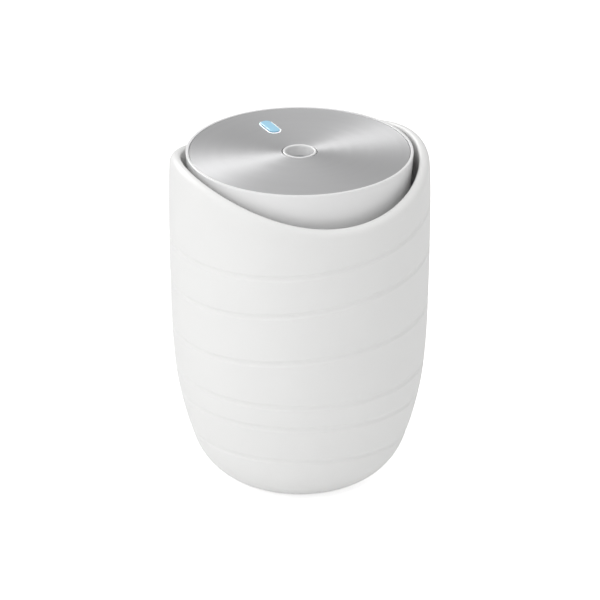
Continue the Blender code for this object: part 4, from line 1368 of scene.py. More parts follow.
@dataclass
class OuterShell:
    """The white vessel: a barrel of arcs with six shallow grooves and a waved, rounded rim."""

    foot_height: float = 0.0008
    base_radius: float = 0.0270
    base_angle: float = 20.0
    arcs: tuple[Arc, ...] = (
        Arc(0.0293, 70.0), Arc(0.151, 78.0), Arc(0.121, 84.0), Arc(0.300, 88.0), Arc(1.610, 90.0),
        Arc(0.210, 100.0),
    )
    wall: float = 0.0046
    rim_level: float = 0.1397
    rim_wave: float = 0.0066
    front_dip: float = 0.0009
    rim_turn: float = 3.4
    rim_outer_width: float = 0.0032
    rim_outer_height: float = 0.0036
    grooves: tuple[Groove, ...] = (
        Groove(0.0235, -0.0018, -0.0010), Groove(0.0410, -0.0006, -0.0004), Groove(0.0528, 0.0012, 0.0002),
        Groove(0.0757, 0.0054, -0.0003), Groove(0.0988, 0.0076, 0.0000), Groove(0.1170, 0.0084, 0.0015),
    )
    groove_width: float = 0.0030
    groove_depth: float = 0.00052
    groove_rows: int = 10
    crease: float = 0.00010
    seat_radius: float = 0.0215
    seat_width: float = 0.0030
    seat_height: float = 0.0067
    foot_circle: float = 0.0200
    foot_radius: float = 0.0040
    foot_pocket: float = 0.0012
    facets: int = 256

    def outer_rows(self) -> list[Row]:
        """The rows from the middle of the underside up to the foot of the rim.

        Returns:
            The rows, from the middle outwards and up.
        """
        rows = [Row(self.foot_height, reach=0.0)]
        rows += [Row(self.foot_height, reach=share) for share in (0.3, 0.6, 0.85, 0.97)]
        first = self.grooves[0]
        start = self.foot_height
        low = Row(start)
        steps = 22
        for step in range(steps):
            share = (step / steps) ** 1.6
            rows.append(self.mixed(low, self.crease_row(first, -1), share))
        for number, groove in enumerate(self.grooves):
            rows += self.groove_band(groove)
            last = number == len(self.grooves) - 1
            following = self.rim_foot() if last else self.crease_row(self.grooves[number + 1], -1)
            here = self.crease_row(groove, 1)
            count = 10 if last else 6
            rows += [self.mixed(here, following, step / count) for step in range(1, count)]
        return rows

    def crease_row(self, groove: Groove, side: int) -> Row:
        """The row just outside a groove's lower (-1) or upper (1) edge."""
        return Row(groove.mean + side * (self.groove_width / 2 + self.crease), groove.rise, groove.sides)

    def groove_band(self, groove: Groove) -> list[Row]:
        """The rows across one groove, with a supporting row beyond each crease.

        Args:
            groove: the groove.

        Returns:
            The rows, from the lowest.
        """
        rows = [self.crease_row(groove, -1)]
        for step in range(self.groove_rows + 1):
            across = 2 * step / self.groove_rows - 1
            hollow = 1 - across * across
            mean = groove.mean + across * self.groove_width / 2
            rows.append(Row(mean, groove.rise, groove.sides, groove=hollow))
        return rows + [self.crease_row(groove, 1)]

    def rim_foot(self, turn_in: float = 0.0) -> Row:
        """The row where the wall starts to round over into the rim."""
        return Row(self.rim_level - self.rim_outer_height, follow=1.0, depth=turn_in)

    def mixed(self, lower: Row, upper: Row, share: float) -> Row:
        """A row between two others."""
        return Row(*(a + (b - a) * share for a, b in zip(lower, upper)))

    def rim_rows(self) -> list[Row]:
        """The rows over the rim, from the outside to the inside: wide outside, tight inside.

        Returns:
            The rows, from the outside inwards.
        """
        inner_round = self.wall - self.rim_outer_width
        foot = self.rim_foot()
        rows = []
        steps = 22
        for step in range(steps + 1):
            turn = math.pi * step / steps
            across, up = (
                (self.rim_outer_width, self.rim_outer_height) if 2 * step <= steps else (inner_round,) * 2
            )
            depth = self.rim_outer_width - across * math.cos(turn)
            lift = self.rim_outer_height - up + up * math.sin(turn)
            rows.append(foot._replace(depth=depth, lift=lift))
        return rows

    def inner_rows(self) -> list[Row]:
        """The rows down the inside, across the floor and its seat ring.

        Returns:
            The rows, from the rim down.
        """
        top = self.rim_level - self.rim_wave - self.front_dip - 2 * self.wall
        floor = self.foot_height + self.wall / math.cos(math.radians(self.base_angle)) - 0.0003
        rows = [Row(self.rim_level - self.rim_outer_height - 0.004, follow=0.6, inset=self.wall)]
        rows += [Row(top + (0.012 - top) * step / 18, inset=self.wall) for step in range(18)]
        rows += [Row(0.012 + (floor + 0.0002 - 0.012) * step / 8, inset=self.wall) for step in range(9)]
        outer = self.seat_radius + self.seat_width / 2
        inner = self.seat_radius - self.seat_width / 2
        ease = 0.0003
        for radius, height in (
            (outer + ease, floor), (outer, floor + ease), (outer, self.seat_height - ease),
            (outer - ease, self.seat_height), (inner + ease, self.seat_height),
            (inner, self.seat_height - ease), (inner, floor + ease), (inner - ease, floor), (0.010, floor),
        ):
            rows.append(Row(height, depth=-radius, reach=0.0))
        return rows + [Row(floor, reach=0.0)]

    def tree(self) -> Graph:
        """The tree that puts each row in place by the barrel's arcs, the grooves and the rim's wave.

        Returns:
            The tree.
        """
        graph = open_group(
            "barrel_with_waved_rim", "GeometryNodeTree",
            {
                "Geometry": "geometry", "Rim Wave": self.rim_wave, "Rim Turn": math.radians(self.rim_turn),
                "Front Dip": self.front_dip, "Groove Depth": self.groove_depth,
                "Foot Height": self.foot_height, "Base Radius": self.base_radius, "Material": "material",
            },
            {"Geometry": "geometry"},
        )
        start, end = graph.ends()
        angle, inset = graph.attribute("angle"), graph.attribute("inset")
        wave = graph.sum(
            "COSINE", graph.sum("MULTIPLY", graph.sum("ADD", angle, start.outputs["Rim Turn"]), 2.0)
        )
        wave = graph.sum("MULTIPLY", wave, start.outputs["Rim Wave"])
        wave = graph.sum(
            "ADD", wave, graph.sum("MULTIPLY", graph.sum("COSINE", angle), start.outputs["Front Dip"])
        )
        height = graph.sum(
            "SUBTRACT", graph.attribute("mean"), graph.sum("MULTIPLY", wave, graph.attribute("follow"))
        )
        rise = graph.sum("MULTIPLY", graph.attribute("rise"), graph.sum("SINE", angle))
        sides = graph.sum("COSINE", graph.sum("MULTIPLY", angle, 2.0))
        height = graph.sum("ADD", height, rise)
        height = graph.sum("SUBTRACT", height, graph.sum("MULTIPLY", graph.attribute("sides"), sides))

        begin = math.radians(self.base_angle)
        radius = graph.sum(
            "SUBTRACT", start.outputs["Base Radius"], graph.sum("MULTIPLY", inset, math.sin(begin))
        )
        level = graph.sum("ADD", start.outputs["Foot Height"], graph.sum("MULTIPLY", inset, math.cos(begin)))
        for arc in self.arcs:
            finish = math.radians(arc.end)
            bend = graph.sum("SUBTRACT", arc.radius, inset)
            gained = graph.sum("DIVIDE", graph.sum("SUBTRACT", height, level), bend)
            cosine = graph.sum("SUBTRACT", math.cos(begin), gained)
            cosine = graph.sum("MINIMUM", graph.sum("MAXIMUM", cosine, math.cos(finish)), math.cos(begin))
            sine = graph.sum("SQRT", graph.sum("SUBTRACT", 1.0, graph.sum("MULTIPLY", cosine, cosine)))
            gain = graph.sum("MULTIPLY", bend, graph.sum("SUBTRACT", sine, math.sin(begin)))
            radius = graph.sum("ADD", radius, gain)
            level = graph.sum("ADD", level, graph.sum("MULTIPLY", bend, math.cos(begin) - math.cos(finish)))
            begin = finish
        radius = graph.sum("MULTIPLY", radius, graph.attribute("reach"))
        radius = graph.sum("SUBTRACT", radius, graph.attribute("depth"))
        hollow = graph.sum("MULTIPLY", graph.attribute("groove"), start.outputs["Groove Depth"])
        radius = graph.sum("SUBTRACT", radius, hollow)
        place = graph.add(
            "ShaderNodeCombineXYZ",
            {
                0: graph.sum("MULTIPLY", radius, graph.sum("SINE", angle)),
                1: graph.sum("MULTIPLY", graph.sum("MULTIPLY", radius, -1.0), graph.sum("COSINE", angle)),
                2: graph.sum("ADD", height, graph.attribute("lift")),
            },
        )
        moved = graph.add(
            "GeometryNodeSetPosition", {"Geometry": start.outputs["Geometry"], "Position": place.outputs[0]}
        )
        return close_tree(graph, moved.outputs[0], start, end)

    def make(self) -> None:
        """Builds the shell and its feet."""
        rows = self.outer_rows() + self.rim_rows() + self.inner_rows()
        mesh = bmesh.new()
        turns = [FULL_TURN * step / self.facets for step in range(self.facets)]
        loops = []
        for number, row in enumerate(rows):
            if row.reach == 0.0 and row.depth == 0.0:
                loops.append([(0.0, 0.0, number)])
            else:
                loops.append([(math.sin(turn), -math.cos(turn), number) for turn in turns])
        loft(mesh, loops)
        data = bpy.data.meshes.new("vessel")
        mesh.to_mesh(data)
        mesh.free()
        for title in Row._fields:
            attribute = data.attributes.new(title, "FLOAT", "POINT")
            values = [getattr(rows[round(vertex.co.z)], title) for vertex in data.vertices]
            attribute.data.foreach_set("value", values)
        attribute = data.attributes.new("angle", "FLOAT", "POINT")
        attribute.data.foreach_set("value", [math.atan2(v.co.x, -v.co.y) for v in data.vertices])
        item = bpy.data.objects.new("vessel", data)
        bpy.context.scene.collection.objects.link(item)
        run_tree(item, self.tree(), {"Material": Finishes.get(Finishes.SHELL)})
        self.face_outwards(item.data)
        cut_away(item, [self.foot_pockets()])
        deliver(item, Body.SHELL, ["outer_shell"], sharp=50.0)
        for number in range(4):
            self.make_foot(number)

    def face_outwards(self, data: bpy.types.Mesh) -> None:
        """Points a mesh's faces out and drops the rule's own attributes.

        Args:
            data: the mesh.
        """
        work = bmesh.new()
        work.from_mesh(data)
        bmesh.ops.recalc_face_normals(work, faces=work.faces)
        work.to_mesh(data)
        work.free()
        for title in Row._fields + ("angle",):
            if title in data.attributes:
                data.attributes.remove(data.attributes[title])

    def foot_place(self, number: int) -> tuple[float, float]:
        """A foot's place in plan."""
        turn = math.radians(45 + 90 * number)
        return self.foot_circle * math.sin(turn), -self.foot_circle * math.cos(turn)

    def foot_pockets(self) -> bpy.types.Object:
        """The four round pockets that the feet are glued into.

        Returns:
            One object that holds all four.
        """
        mesh = bmesh.new()
        top = self.foot_height + self.foot_pocket
        for number in range(4):
            x, y = self.foot_place(number)
            outline = Round(self.foot_radius + 0.0003, x, y, 48)
            loft(mesh, [outline.points(0.0, height) for height in (self.foot_height - 0.001, top)])
        return make_object("foot_pockets", mesh)

    def make_foot(self, number: int) -> None:
        """One rubber foot: a rounded pad with a shallow dish.

        Args:
            number: which foot, from 1.
        """
        x, y = self.foot_place(number)
        top = self.foot_height + self.foot_pocket - 0.0003
        corners = [
            Corner(0.0, top), Corner(self.foot_radius, top, 0.0002), Corner(self.foot_radius, 0.0, 0.0005),
            Corner(0.0022, 0.0, 0.0002), Corner(0.0018, 0.0002, 0.0002), Corner(0.0, 0.0002),
        ]
        item = turned(f"rubber_foot_{number + 1}", corners, x, y, 48)
        deliver(dress(item, Finishes.FOOT), Body.SHELL, [f"foot_{number + 1}"])


# ------------------------------------------------------------------ the tank


@dataclass
class WaterTank:
    """The lift-out tank: a thin-walled cup with a rolled lip and level marks."""

    wall: float = 0.0018
    lip: float = 0.0006
    mark_levels: tuple[float, ...] = (0.040, 0.052, 0.064, 0.076, 0.088)
    full_level: float = 0.098

    def make(self) -> None:
        """Builds the cup and its level marks."""
        shell = OuterShell()
        top = span("water_tank").high
        reach = span("water_tank").reach
        outer = self.profile(shell, shell.wall + 0.0020, reach, top)
        inner = self.profile(shell, shell.wall + 0.0020 + self.wall, reach - self.wall, top)
        corners = [Corner(0.0, outer[0].height)] + outer + inner[::-1] + [Corner(0.0, inner[0].height)]
        item = turned("tank_cup", corners, count=160)
        deliver(dress(item, Finishes.TANK), Body.TANK, ["water_tank"])
        self.make_marks(reach - self.wall)

    def profile(self, shell: OuterShell, inset: float, radius: float, top: float) -> list[Corner]:
        """One side of the cup's wall: it follows the barrel inside its wall, then goes straight up.

        Args:
            shell: the shell that the tank stands in.
            inset: how far inside the barrel's face this side runs.
            radius: the straight part's radius.
            top: the lip's height.

        Returns:
            The corners from the floor up.
        """
        begin = math.radians(shell.base_angle)
        across = shell.base_radius - inset * math.sin(begin)
        level = shell.foot_height + inset * math.cos(begin)
        corners = []
        for arc in shell.arcs:
            bend, finish = arc.radius - inset, math.radians(arc.end)
            for step in range(12):
                turn = begin + (finish - begin) * step / 12
                r = across + bend * (math.sin(turn) - math.sin(begin))
                z = level + bend * (math.cos(begin) - math.cos(turn))
                if r >= radius - 0.0001:
                    break
                corners.append(Corner(r, z))
            across += bend * (math.sin(finish) - math.sin(begin))
            level += bend * (math.cos(begin) - math.cos(finish))
            begin = finish
            if across >= radius:
                break
        last = corners[-1].height
        corners += [Corner(radius, last + (top - last) * share) for share in (0.06, 0.3, 0.6, 0.9)]
        return corners + [Corner(radius, top, self.lip)]

    def make_marks(self, inner: float) -> None:
        """Short raised bars up the inside for the levels, and a long one for the full level.

        Args:
            inner: the cup's inner radius.
        """
        places, sizes, spins = [], [], []
        for number, height in enumerate(self.mark_levels + (self.full_level,)):
            long = height == self.full_level
            for side in (0.0, math.pi):
                turn = side + math.radians(90)
                places.append((inner * math.cos(turn), inner * math.sin(turn), height))
                sizes.append((1.0, 2.6 if long else (1.6 if number % 2 else 1.0), 1.6 if long else 1.0))
                spins.append((0.0, 0.0, turn))
        bar = box_shape("mark", (-0.00035, -0.0018, -0.00025), (0.00015, 0.0018, 0.00025), 0.0001)
        item = Copies.at("level_marks", bar, places, Finishes.TANK, spins, sizes)
        deliver(item, Body.TANK)


# ------------------------------------------------------------------ the head's outside


@dataclass
class HeadCase:
    """The head's white can, the cover under it, and the aluminium plate on it."""

    ring_width: float = 0.0013
    ring_round: float = 0.0005
    wall: float = 0.0018
    deck: float = 0.0016
    button: Oblong = Oblong(0.0124, 0.0046, 0.0286, per_end=31)
    frame_hole: float = 0.0008
    facets: int = 224
    nozzle_hole: float = 0.0075
    plate_round: float = 0.00012
    board_post: float = 0.0025
    wide_post: float = 0.0030
    cover_floor: float = 0.0018
    clamp_floor: float = 0.0019
    pilot: float = 0.00112

    def make(self) -> None:
        """Builds the can, the plate and the cover."""
        self.make_can()
        self.make_plate()
        self.make_cover()

    def make_can(self) -> None:
        """The can: ring, recess, deck, tapered side, and the slot for the power socket."""
        low, high, reach = span("head_housing")
        plate = span("top_plate")
        deck_top = plate.low - 0.0003
        recess = reach - self.ring_width
        taper = math.tan(math.radians(5.0))
        bottom = reach - (high - self.ring_round - low) * taper
        inner_top = reach - (high - self.ring_round - deck_top + self.deck) * taper - self.wall
        nozzle_hole = 0.0073
        corners = [
            Corner(nozzle_hole, deck_top, 0.0002), Corner(recess, deck_top, 0.0002),
            Corner(recess, high, 0.0003), Corner(reach, high, self.ring_round), Corner(bottom, low, 0.0004),
            Corner(bottom - self.wall, low, 0.0002), Corner(inner_top, deck_top - self.deck, 0.0006),
            Corner(nozzle_hole, deck_top - self.deck, 0.0002),
        ]
        item = turned("head_can", corners, count=self.facets, steps=5)
        mesh = bmesh.new()
        levels = (deck_top - self.deck - 0.001, deck_top + 0.001)
        loft(mesh, [self.button.points(self.frame_hole, height) for height in levels])
        button_hole = make_object("button_hole", mesh)
        cut_away(item, [button_hole, self.socket_slot()])
        posts = self.make_posts(deck_top - self.deck / 2)
        dress(item, Finishes.HEAD)
        item = join_into("head_can", [item, dress(posts, Finishes.HEAD)])
        deliver(item, Body.HEAD, ["head_housing"], sharp=35.0)

    def socket_slot(self) -> bpy.types.Object:
        """The oblong opening in the back of the can, a hair larger than the socket.

        Returns:
            The shape that is cut away.
        """
        low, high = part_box("usb_socket")
        middle = (low.z + high.z) / 2
        outline = Oblong(high.x - low.x + 0.0006, high.z - low.z + 0.0006, across=True, per_end=12)
        mesh = bmesh.new()
        loops = []
        for depth in (low.y, high.y + 0.004):
            loops.append([(x, depth, middle + y) for x, y, _ in outline.points(0.0, 0.0)])
        loft(mesh, loops)
        return make_object("socket_slot", mesh)

    def make_posts(self, root: float) -> bpy.types.Object:
        """The screw posts under the deck, one over each screw.

        Args:
            root: the height where the posts meet the deck.

        Returns:
            One object that holds every post.
        """
        mesh = bmesh.new()
        for name in frame["nodes"]:
            if "_screw_" not in name:
                continue
            low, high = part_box(name)
            x, y = (low.x + high.x) / 2, (low.y + high.y) / 2
            radius = self.board_post if name.startswith("board") else self.wide_post
            rests = {"base": span("head_base").low + self.cover_floor, "board": span("control_board").high}
            bottom = rests.get(name.split("_")[0], span("disc_retainer").low + self.clamp_floor) + REST_GAP
            section = rounded(
                [
                    Corner(0.0, root), Corner(radius, root), Corner(radius, bottom, 0.0002),
                    Corner(self.pilot, bottom, 0.0002), Corner(self.pilot, high.z + REST_GAP),
                    Corner(0.0, high.z + REST_GAP),
                ],
                False,
            )
            outline = Round(0.0, x, y, 32)
            loft(mesh, [outline.points(r, z) for r, z in section])
        return make_object("posts", mesh)

    def make_plate(self) -> None:
        """The spun disc with its nozzle hole and button hole."""
        low, high, reach = span("top_plate")
        holes = [
            Round(self.nozzle_hole, count=96),
            Oblong(self.button.length, self.button.width, self.button.y, per_end=31),
        ]
        wide = Oblong(
            holes[1].length + 2 * self.frame_hole,
            holes[1].width + 2 * self.frame_hole,
            holes[1].y,
            per_end=31,
        )
        item = sheet_with_holes(
            "aluminium_plate", Round(reach, count=self.facets), [holes[0], wide], low, high, self.plate_round
        )
        deliver(dress(item, Finishes.PLATE), Body.HEAD, ["top_plate"], sharp=60.0)

    def make_cover(self) -> None:
        """The cover under the can: plate, upstand, spigot with its seal groove, and wick collar."""
        low, high, reach = span("head_base")
        can = span("head_housing")
        top = can.low - 0.0003
        bottom = top - 0.0018
        up_outer = reach - self.wall - 0.0003
        seal = span("tank_seal")
        spigot = span("water_tank").reach - 0.0018 - 0.0005
        groove = spigot - 0.0014
        groove_low, groove_high = seal.low - 0.0003, seal.high + 0.0003
        inner = groove - 0.0003 - 0.0014
        hole = 0.0056
        corners = [
            Corner(hole, high, 0.0002), Corner(hole + 0.0018, high, 0.0003),
            Corner(hole + 0.0018, top, 0.0003), Corner(up_outer - 0.0012, top, 0.0002),
            Corner(up_outer - 0.0012, top + 0.0025, 0.0002), Corner(up_outer, top + 0.0025, 0.0003),
            Corner(up_outer, top, 0.0002), Corner(reach, top, 0.0002), Corner(reach, bottom, 0.0003),
            Corner(spigot, bottom, 0.0002), Corner(spigot, groove_high, 0.0001),
            Corner(groove, groove_high, 0.0001), Corner(groove, groove_low, 0.0001),
            Corner(spigot, groove_low, 0.0001), Corner(spigot, low, 0.0003), Corner(inner, low, 0.0003),
            Corner(inner, bottom, 0.0004), Corner(hole, bottom, 0.0002),
        ]
        item = turned("head_cover", corners, count=192, steps=3)
        mesh = bmesh.new()
        for number in range(1, 4):
            box_low, box_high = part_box(f"base_screw_{number}")
            outline = Round(0.0014, (box_low.x + box_high.x) / 2, (box_low.y + box_high.y) / 2, 40)
            loft(mesh, [outline.points(0.0, height) for height in (bottom - 0.001, top + 0.001)])
        cut_away(item, [make_object("cover_holes", mesh)])
        dress(item, Finishes.HEAD)
        deliver(item, Body.HEAD, ["head_base"], sharp=35.0)
        rib = box_shape("rib", (0.0, -0.0004, 0.0), (0.0230, 0.0004, 0.0011), 0.00015)
        ribs = Copies.round("cover_ribs", rib, 12, 0.0105, bottom - 0.0010, Finishes.HEAD)
        deliver(ribs, Body.HEAD)


@dataclass
class MistHead:
    """The nozzle and what hangs under it: gaskets, the perforated disc, its ceramic ring and the clamp."""

    hole_pitch: float = 0.00036
    hole_field: float = 0.0019
    hole_radius: float = 0.00009
    dome: float = 0.00012

    def make(self) -> None:
        """Builds every piece."""
        self.make_nozzle()
        self.make_gasket("upper_gasket", "nozzle_gasket", 0.0063)
        self.make_gasket("lower_gasket", "clamp_gasket", 0.0052)
        self.make_disc()
        self.make_clamp()
        self.make_leads()

    def make_nozzle(self) -> None:
        """The white nozzle: a rounded lip, a bore and the flange that holds it under the deck."""
        low, high, reach = span("nozzle")
        deck_bottom = span("top_plate").low - 0.0003 - 0.0016
        corners = [
            Corner(0.0060, high, 0.0005), Corner(0.0071, high, 0.0004),
            Corner(0.0071, deck_bottom - 0.0003, 0.0003), Corner(reach, deck_bottom - 0.0003, 0.0002),
            Corner(reach, low, 0.0002), Corner(0.0060, low, 0.0003),
        ]
        item = turned("mist_nozzle", corners, count=128, steps=6)
        deliver(dress(item, Finishes.HEAD), Body.HEAD, ["nozzle"])

    def make_gasket(self, node: str, name: str, bore: float) -> None:
        """A silicone ring with a bead on each face.

        Args:
            node: the node that it stands for.
            name: the new piece's name.
            bore: the ring's bore.
        """
        low, high, reach = span(node)
        bead = 0.0002
        middle = (bore + reach) / 2
        corners = [
            Corner(bore, low + bead, 0.0002), Corner(bore, high - bead, 0.0002),
            Corner(middle - 0.0004, high - bead, 0.0001), Corner(middle, high, 0.0002),
            Corner(middle + 0.0004, high - bead, 0.0001), Corner(reach, high - bead, 0.0002),
            Corner(reach, low + bead, 0.0002), Corner(middle + 0.0004, low + bead, 0.0001),
            Corner(middle, low, 0.0002), Corner(middle - 0.0004, low + bead, 0.0001),
        ]
        item = turned(name, corners, count=96)
        deliver(dress(item, Finishes.SILICONE), Body.HEAD, [node])

    def make_disc(self) -> None:
        """The steel disc, slightly domed in the middle, its field of fine holes drawn as small black pits of
        painted shade, and the ceramic ring.
        """
        low, high, reach = span("mist_disc")
        corners = [
            Corner(0.0, high), Corner(self.hole_field, high - 0.00003, 0.0003),
            Corner(self.hole_field + 0.0008, high - self.dome, 0.0003),
            Corner(reach, high - self.dome, 0.00006), Corner(reach, low, 0.00005), Corner(0.0, low),
        ]
        item = turned("vibrating_disc", corners, count=96)
        deliver(dress(item, Finishes.TURNED_STEEL), Body.HEAD, ["mist_disc"])
        places = []
        rows = int(self.hole_field / self.hole_pitch)
        for row in range(-rows, rows + 1):
            for column in range(-rows, rows + 1):
                x = (column + 0.5 * (row % 2)) * self.hole_pitch
                y = row * self.hole_pitch * math.sqrt(0.75)
                if math.hypot(x, y) < self.hole_field:
                    places.append((x, y, high - 0.00004))
        # Each hole is a small black pit laid in the face, which is not cut: painted shade for the dark inside
        # of a hole.
        mesh = bmesh.new()
        outline = Round(0.0, count=8)
        sections = ((self.hole_radius, 0.0), (self.hole_radius * 0.6, 0.00003), (0.0, -0.00002))
        loft(mesh, [[(0.0, 0.0, -0.00004)]] + [outline.points(radius, height) for radius, height in sections])
        hole_shade_pits = Copies.at("disc_holes", make_object("pit", mesh), places, Finishes.BLACK)
        deliver(hole_shade_pits, Body.HEAD)
        low, high, reach = span("piezo_ring")
        corners = [Corner(0.0052, low, 0.0001), Corner(0.0052, high, 0.0001)]
        corners += [Corner(reach, high, 0.0001), Corner(reach, low, 0.0001)]
        ring = turned("ceramic_ring", corners, count=96)
        deliver(dress(ring, Finishes.CERAMIC), Body.HEAD, ["piezo_ring"])

    def make_clamp(self) -> None:
        """The black clamp: a cup with two screw ears and a notch for the leads."""
        node = frame["nodes"]["disc_retainer"]
        work = bmesh.new()
        work.from_mesh(node.data)
        bmesh.ops.remove_doubles(work, verts=work.verts, dist=1e-6)
        flat = [
            edge for edge in work.edges if edge.is_manifold and edge.calc_face_angle(0.0) < math.radians(1)
        ]
        bmesh.ops.dissolve_edges(work, edges=flat, use_verts=False)
        sharp = [
            edge for edge in work.edges if edge.is_manifold and edge.calc_face_angle(0.0) > math.radians(50)
        ]
        bmesh.ops.bevel(
            work, geom=sharp, offset=0.00012, segments=2, profile=0.5, affect="EDGES", clamp_overlap=True
        )
        item = make_object("disc_clamp", work)
        deliver(dress(item, Finishes.CLAMP), Body.HEAD, ["disc_retainer"])

    def make_leads(self) -> None:
        """The two insulated leads."""
        for node, finish, slot in (
            ("lead_live", Finishes.RED, Slot.RED), ("lead_return", Finishes.BLACK, Slot.BLACK)
        ):
            low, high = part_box(node)
            radius = (high.x - low.x) / 2
            x = (low.x + high.x) / 2
            data = bpy.data.curves.new(f"{node}_wire", "CURVE")
            data.dimensions = "3D"
            data.bevel_depth = radius
            data.bevel_resolution = 4
            data.use_fill_caps = True
            spline = data.splines.new("BEZIER")
            front, back = (x, low.y, high.z - radius), (x, high.y, low.z + radius)
            spline.bezier_points.add(1)
            for point, place, reach in (
                (spline.bezier_points[0], front, 1), (spline.bezier_points[1], back, -1)
            ):
                point.co = place
                point.handle_left = (place[0], place[1] - reach * 0.0028, place[2])
                point.handle_right = (place[0], place[1] + reach * 0.0028, place[2])
            spline.bezier_points[1].handle_left = (x, back[1] - 0.0028, back[2])
            spline.bezier_points[1].handle_right = (x, back[1] + 0.0028, back[2])
            spline.resolution_u = 24
            item = bpy.data.objects.new(f"{node}_wire", data)
            bpy.context.scene.collection.objects.link(item)
            item = settle(item)
            deliver(dress(item, finish), Body.HEAD, [node])


@dataclass
class PowerButton:
    """The lit oblong cap, its glowing frame, and the plunger under the cap."""

    deck: float = 0.0016
    length: float = 0.0124
    width: float = 0.0046
    centre: float = 0.0286
    crown: float = 0.00012

    def outline(self) -> Oblong:
        """The cap's outline."""
        return Oblong(self.length, self.width, self.centre, per_end=31)

    def make(self) -> None:
        """Builds the frame, the cap and the plunger."""
        plate = span("top_plate")
        low, high, _ = span("button_frame")
        shoulder = plate.low - REST_GAP - self.deck - REST_GAP
        corners = [
            Corner(0.0002, high, 0.00012), Corner(0.0006, high, 0.00015), Corner(0.0006, shoulder, 0.0001),
            Corner(0.0022, shoulder, 0.0001), Corner(0.0022, low, 0.0001), Corner(0.0002, low, 0.0001),
        ]
        # The frame glows from the lamps under it; its glow is halved towards its foot as painted shade.
        glow = Lit("frame_glow", (0.85, 0.88, 0.90), (0.96, 0.99, 1.0), 0.6, 0.3, low, high)
        item = drawn("glow_frame", self.outline(), corners, closed=True)
        deliver(dress(item, glow), Body.HEAD, ["button_frame"])

        cap_low, cap_high, _ = span("power_button")
        shoulder = low - 0.0003
        top = cap_high - self.crown
        # The cap glows on top from the lamps under it; down its side the glow falls nearly to nothing as
        # painted shade.
        blue = Lit("button_blue", (0.05, 0.14, 0.22), (0.30, 0.52, 0.64), 0.9, 0.04, plate.high, top - 0.0001)
        corners = [
            Corner(-self.width * 0.42, cap_high), Corner(-self.width * 0.30, cap_high - self.crown * 0.18),
            Corner(-self.width * 0.16, cap_high - self.crown * 0.5), Corner(-0.0003, top),
            Corner(0.0, top - 0.0002, 0.00025), Corner(0.0, shoulder, 0.0001),
            Corner(0.0008, shoulder, 0.0001), Corner(0.0008, cap_low, 0.0001),
        ]
        item = drawn("button_cap", self.outline(), corners)
        deliver(dress(item, blue), Body.BUTTON, ["power_button"])

        low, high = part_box("switch_plunger")
        y, radius = (low.y + high.y) / 2, (high.x - low.x) / 2
        corners = [
            Corner(0.0, high.z), Corner(radius, high.z, 0.0002), Corner(radius, low.z, 0.0002),
            Corner(0.0, low.z),
        ]
        item = turned("plunger", corners, y=y, count=40)
        deliver(dress(item, Finishes.BLACK), Body.BUTTON, ["switch_plunger"])


# ------------------------------------------------------------------ the wick


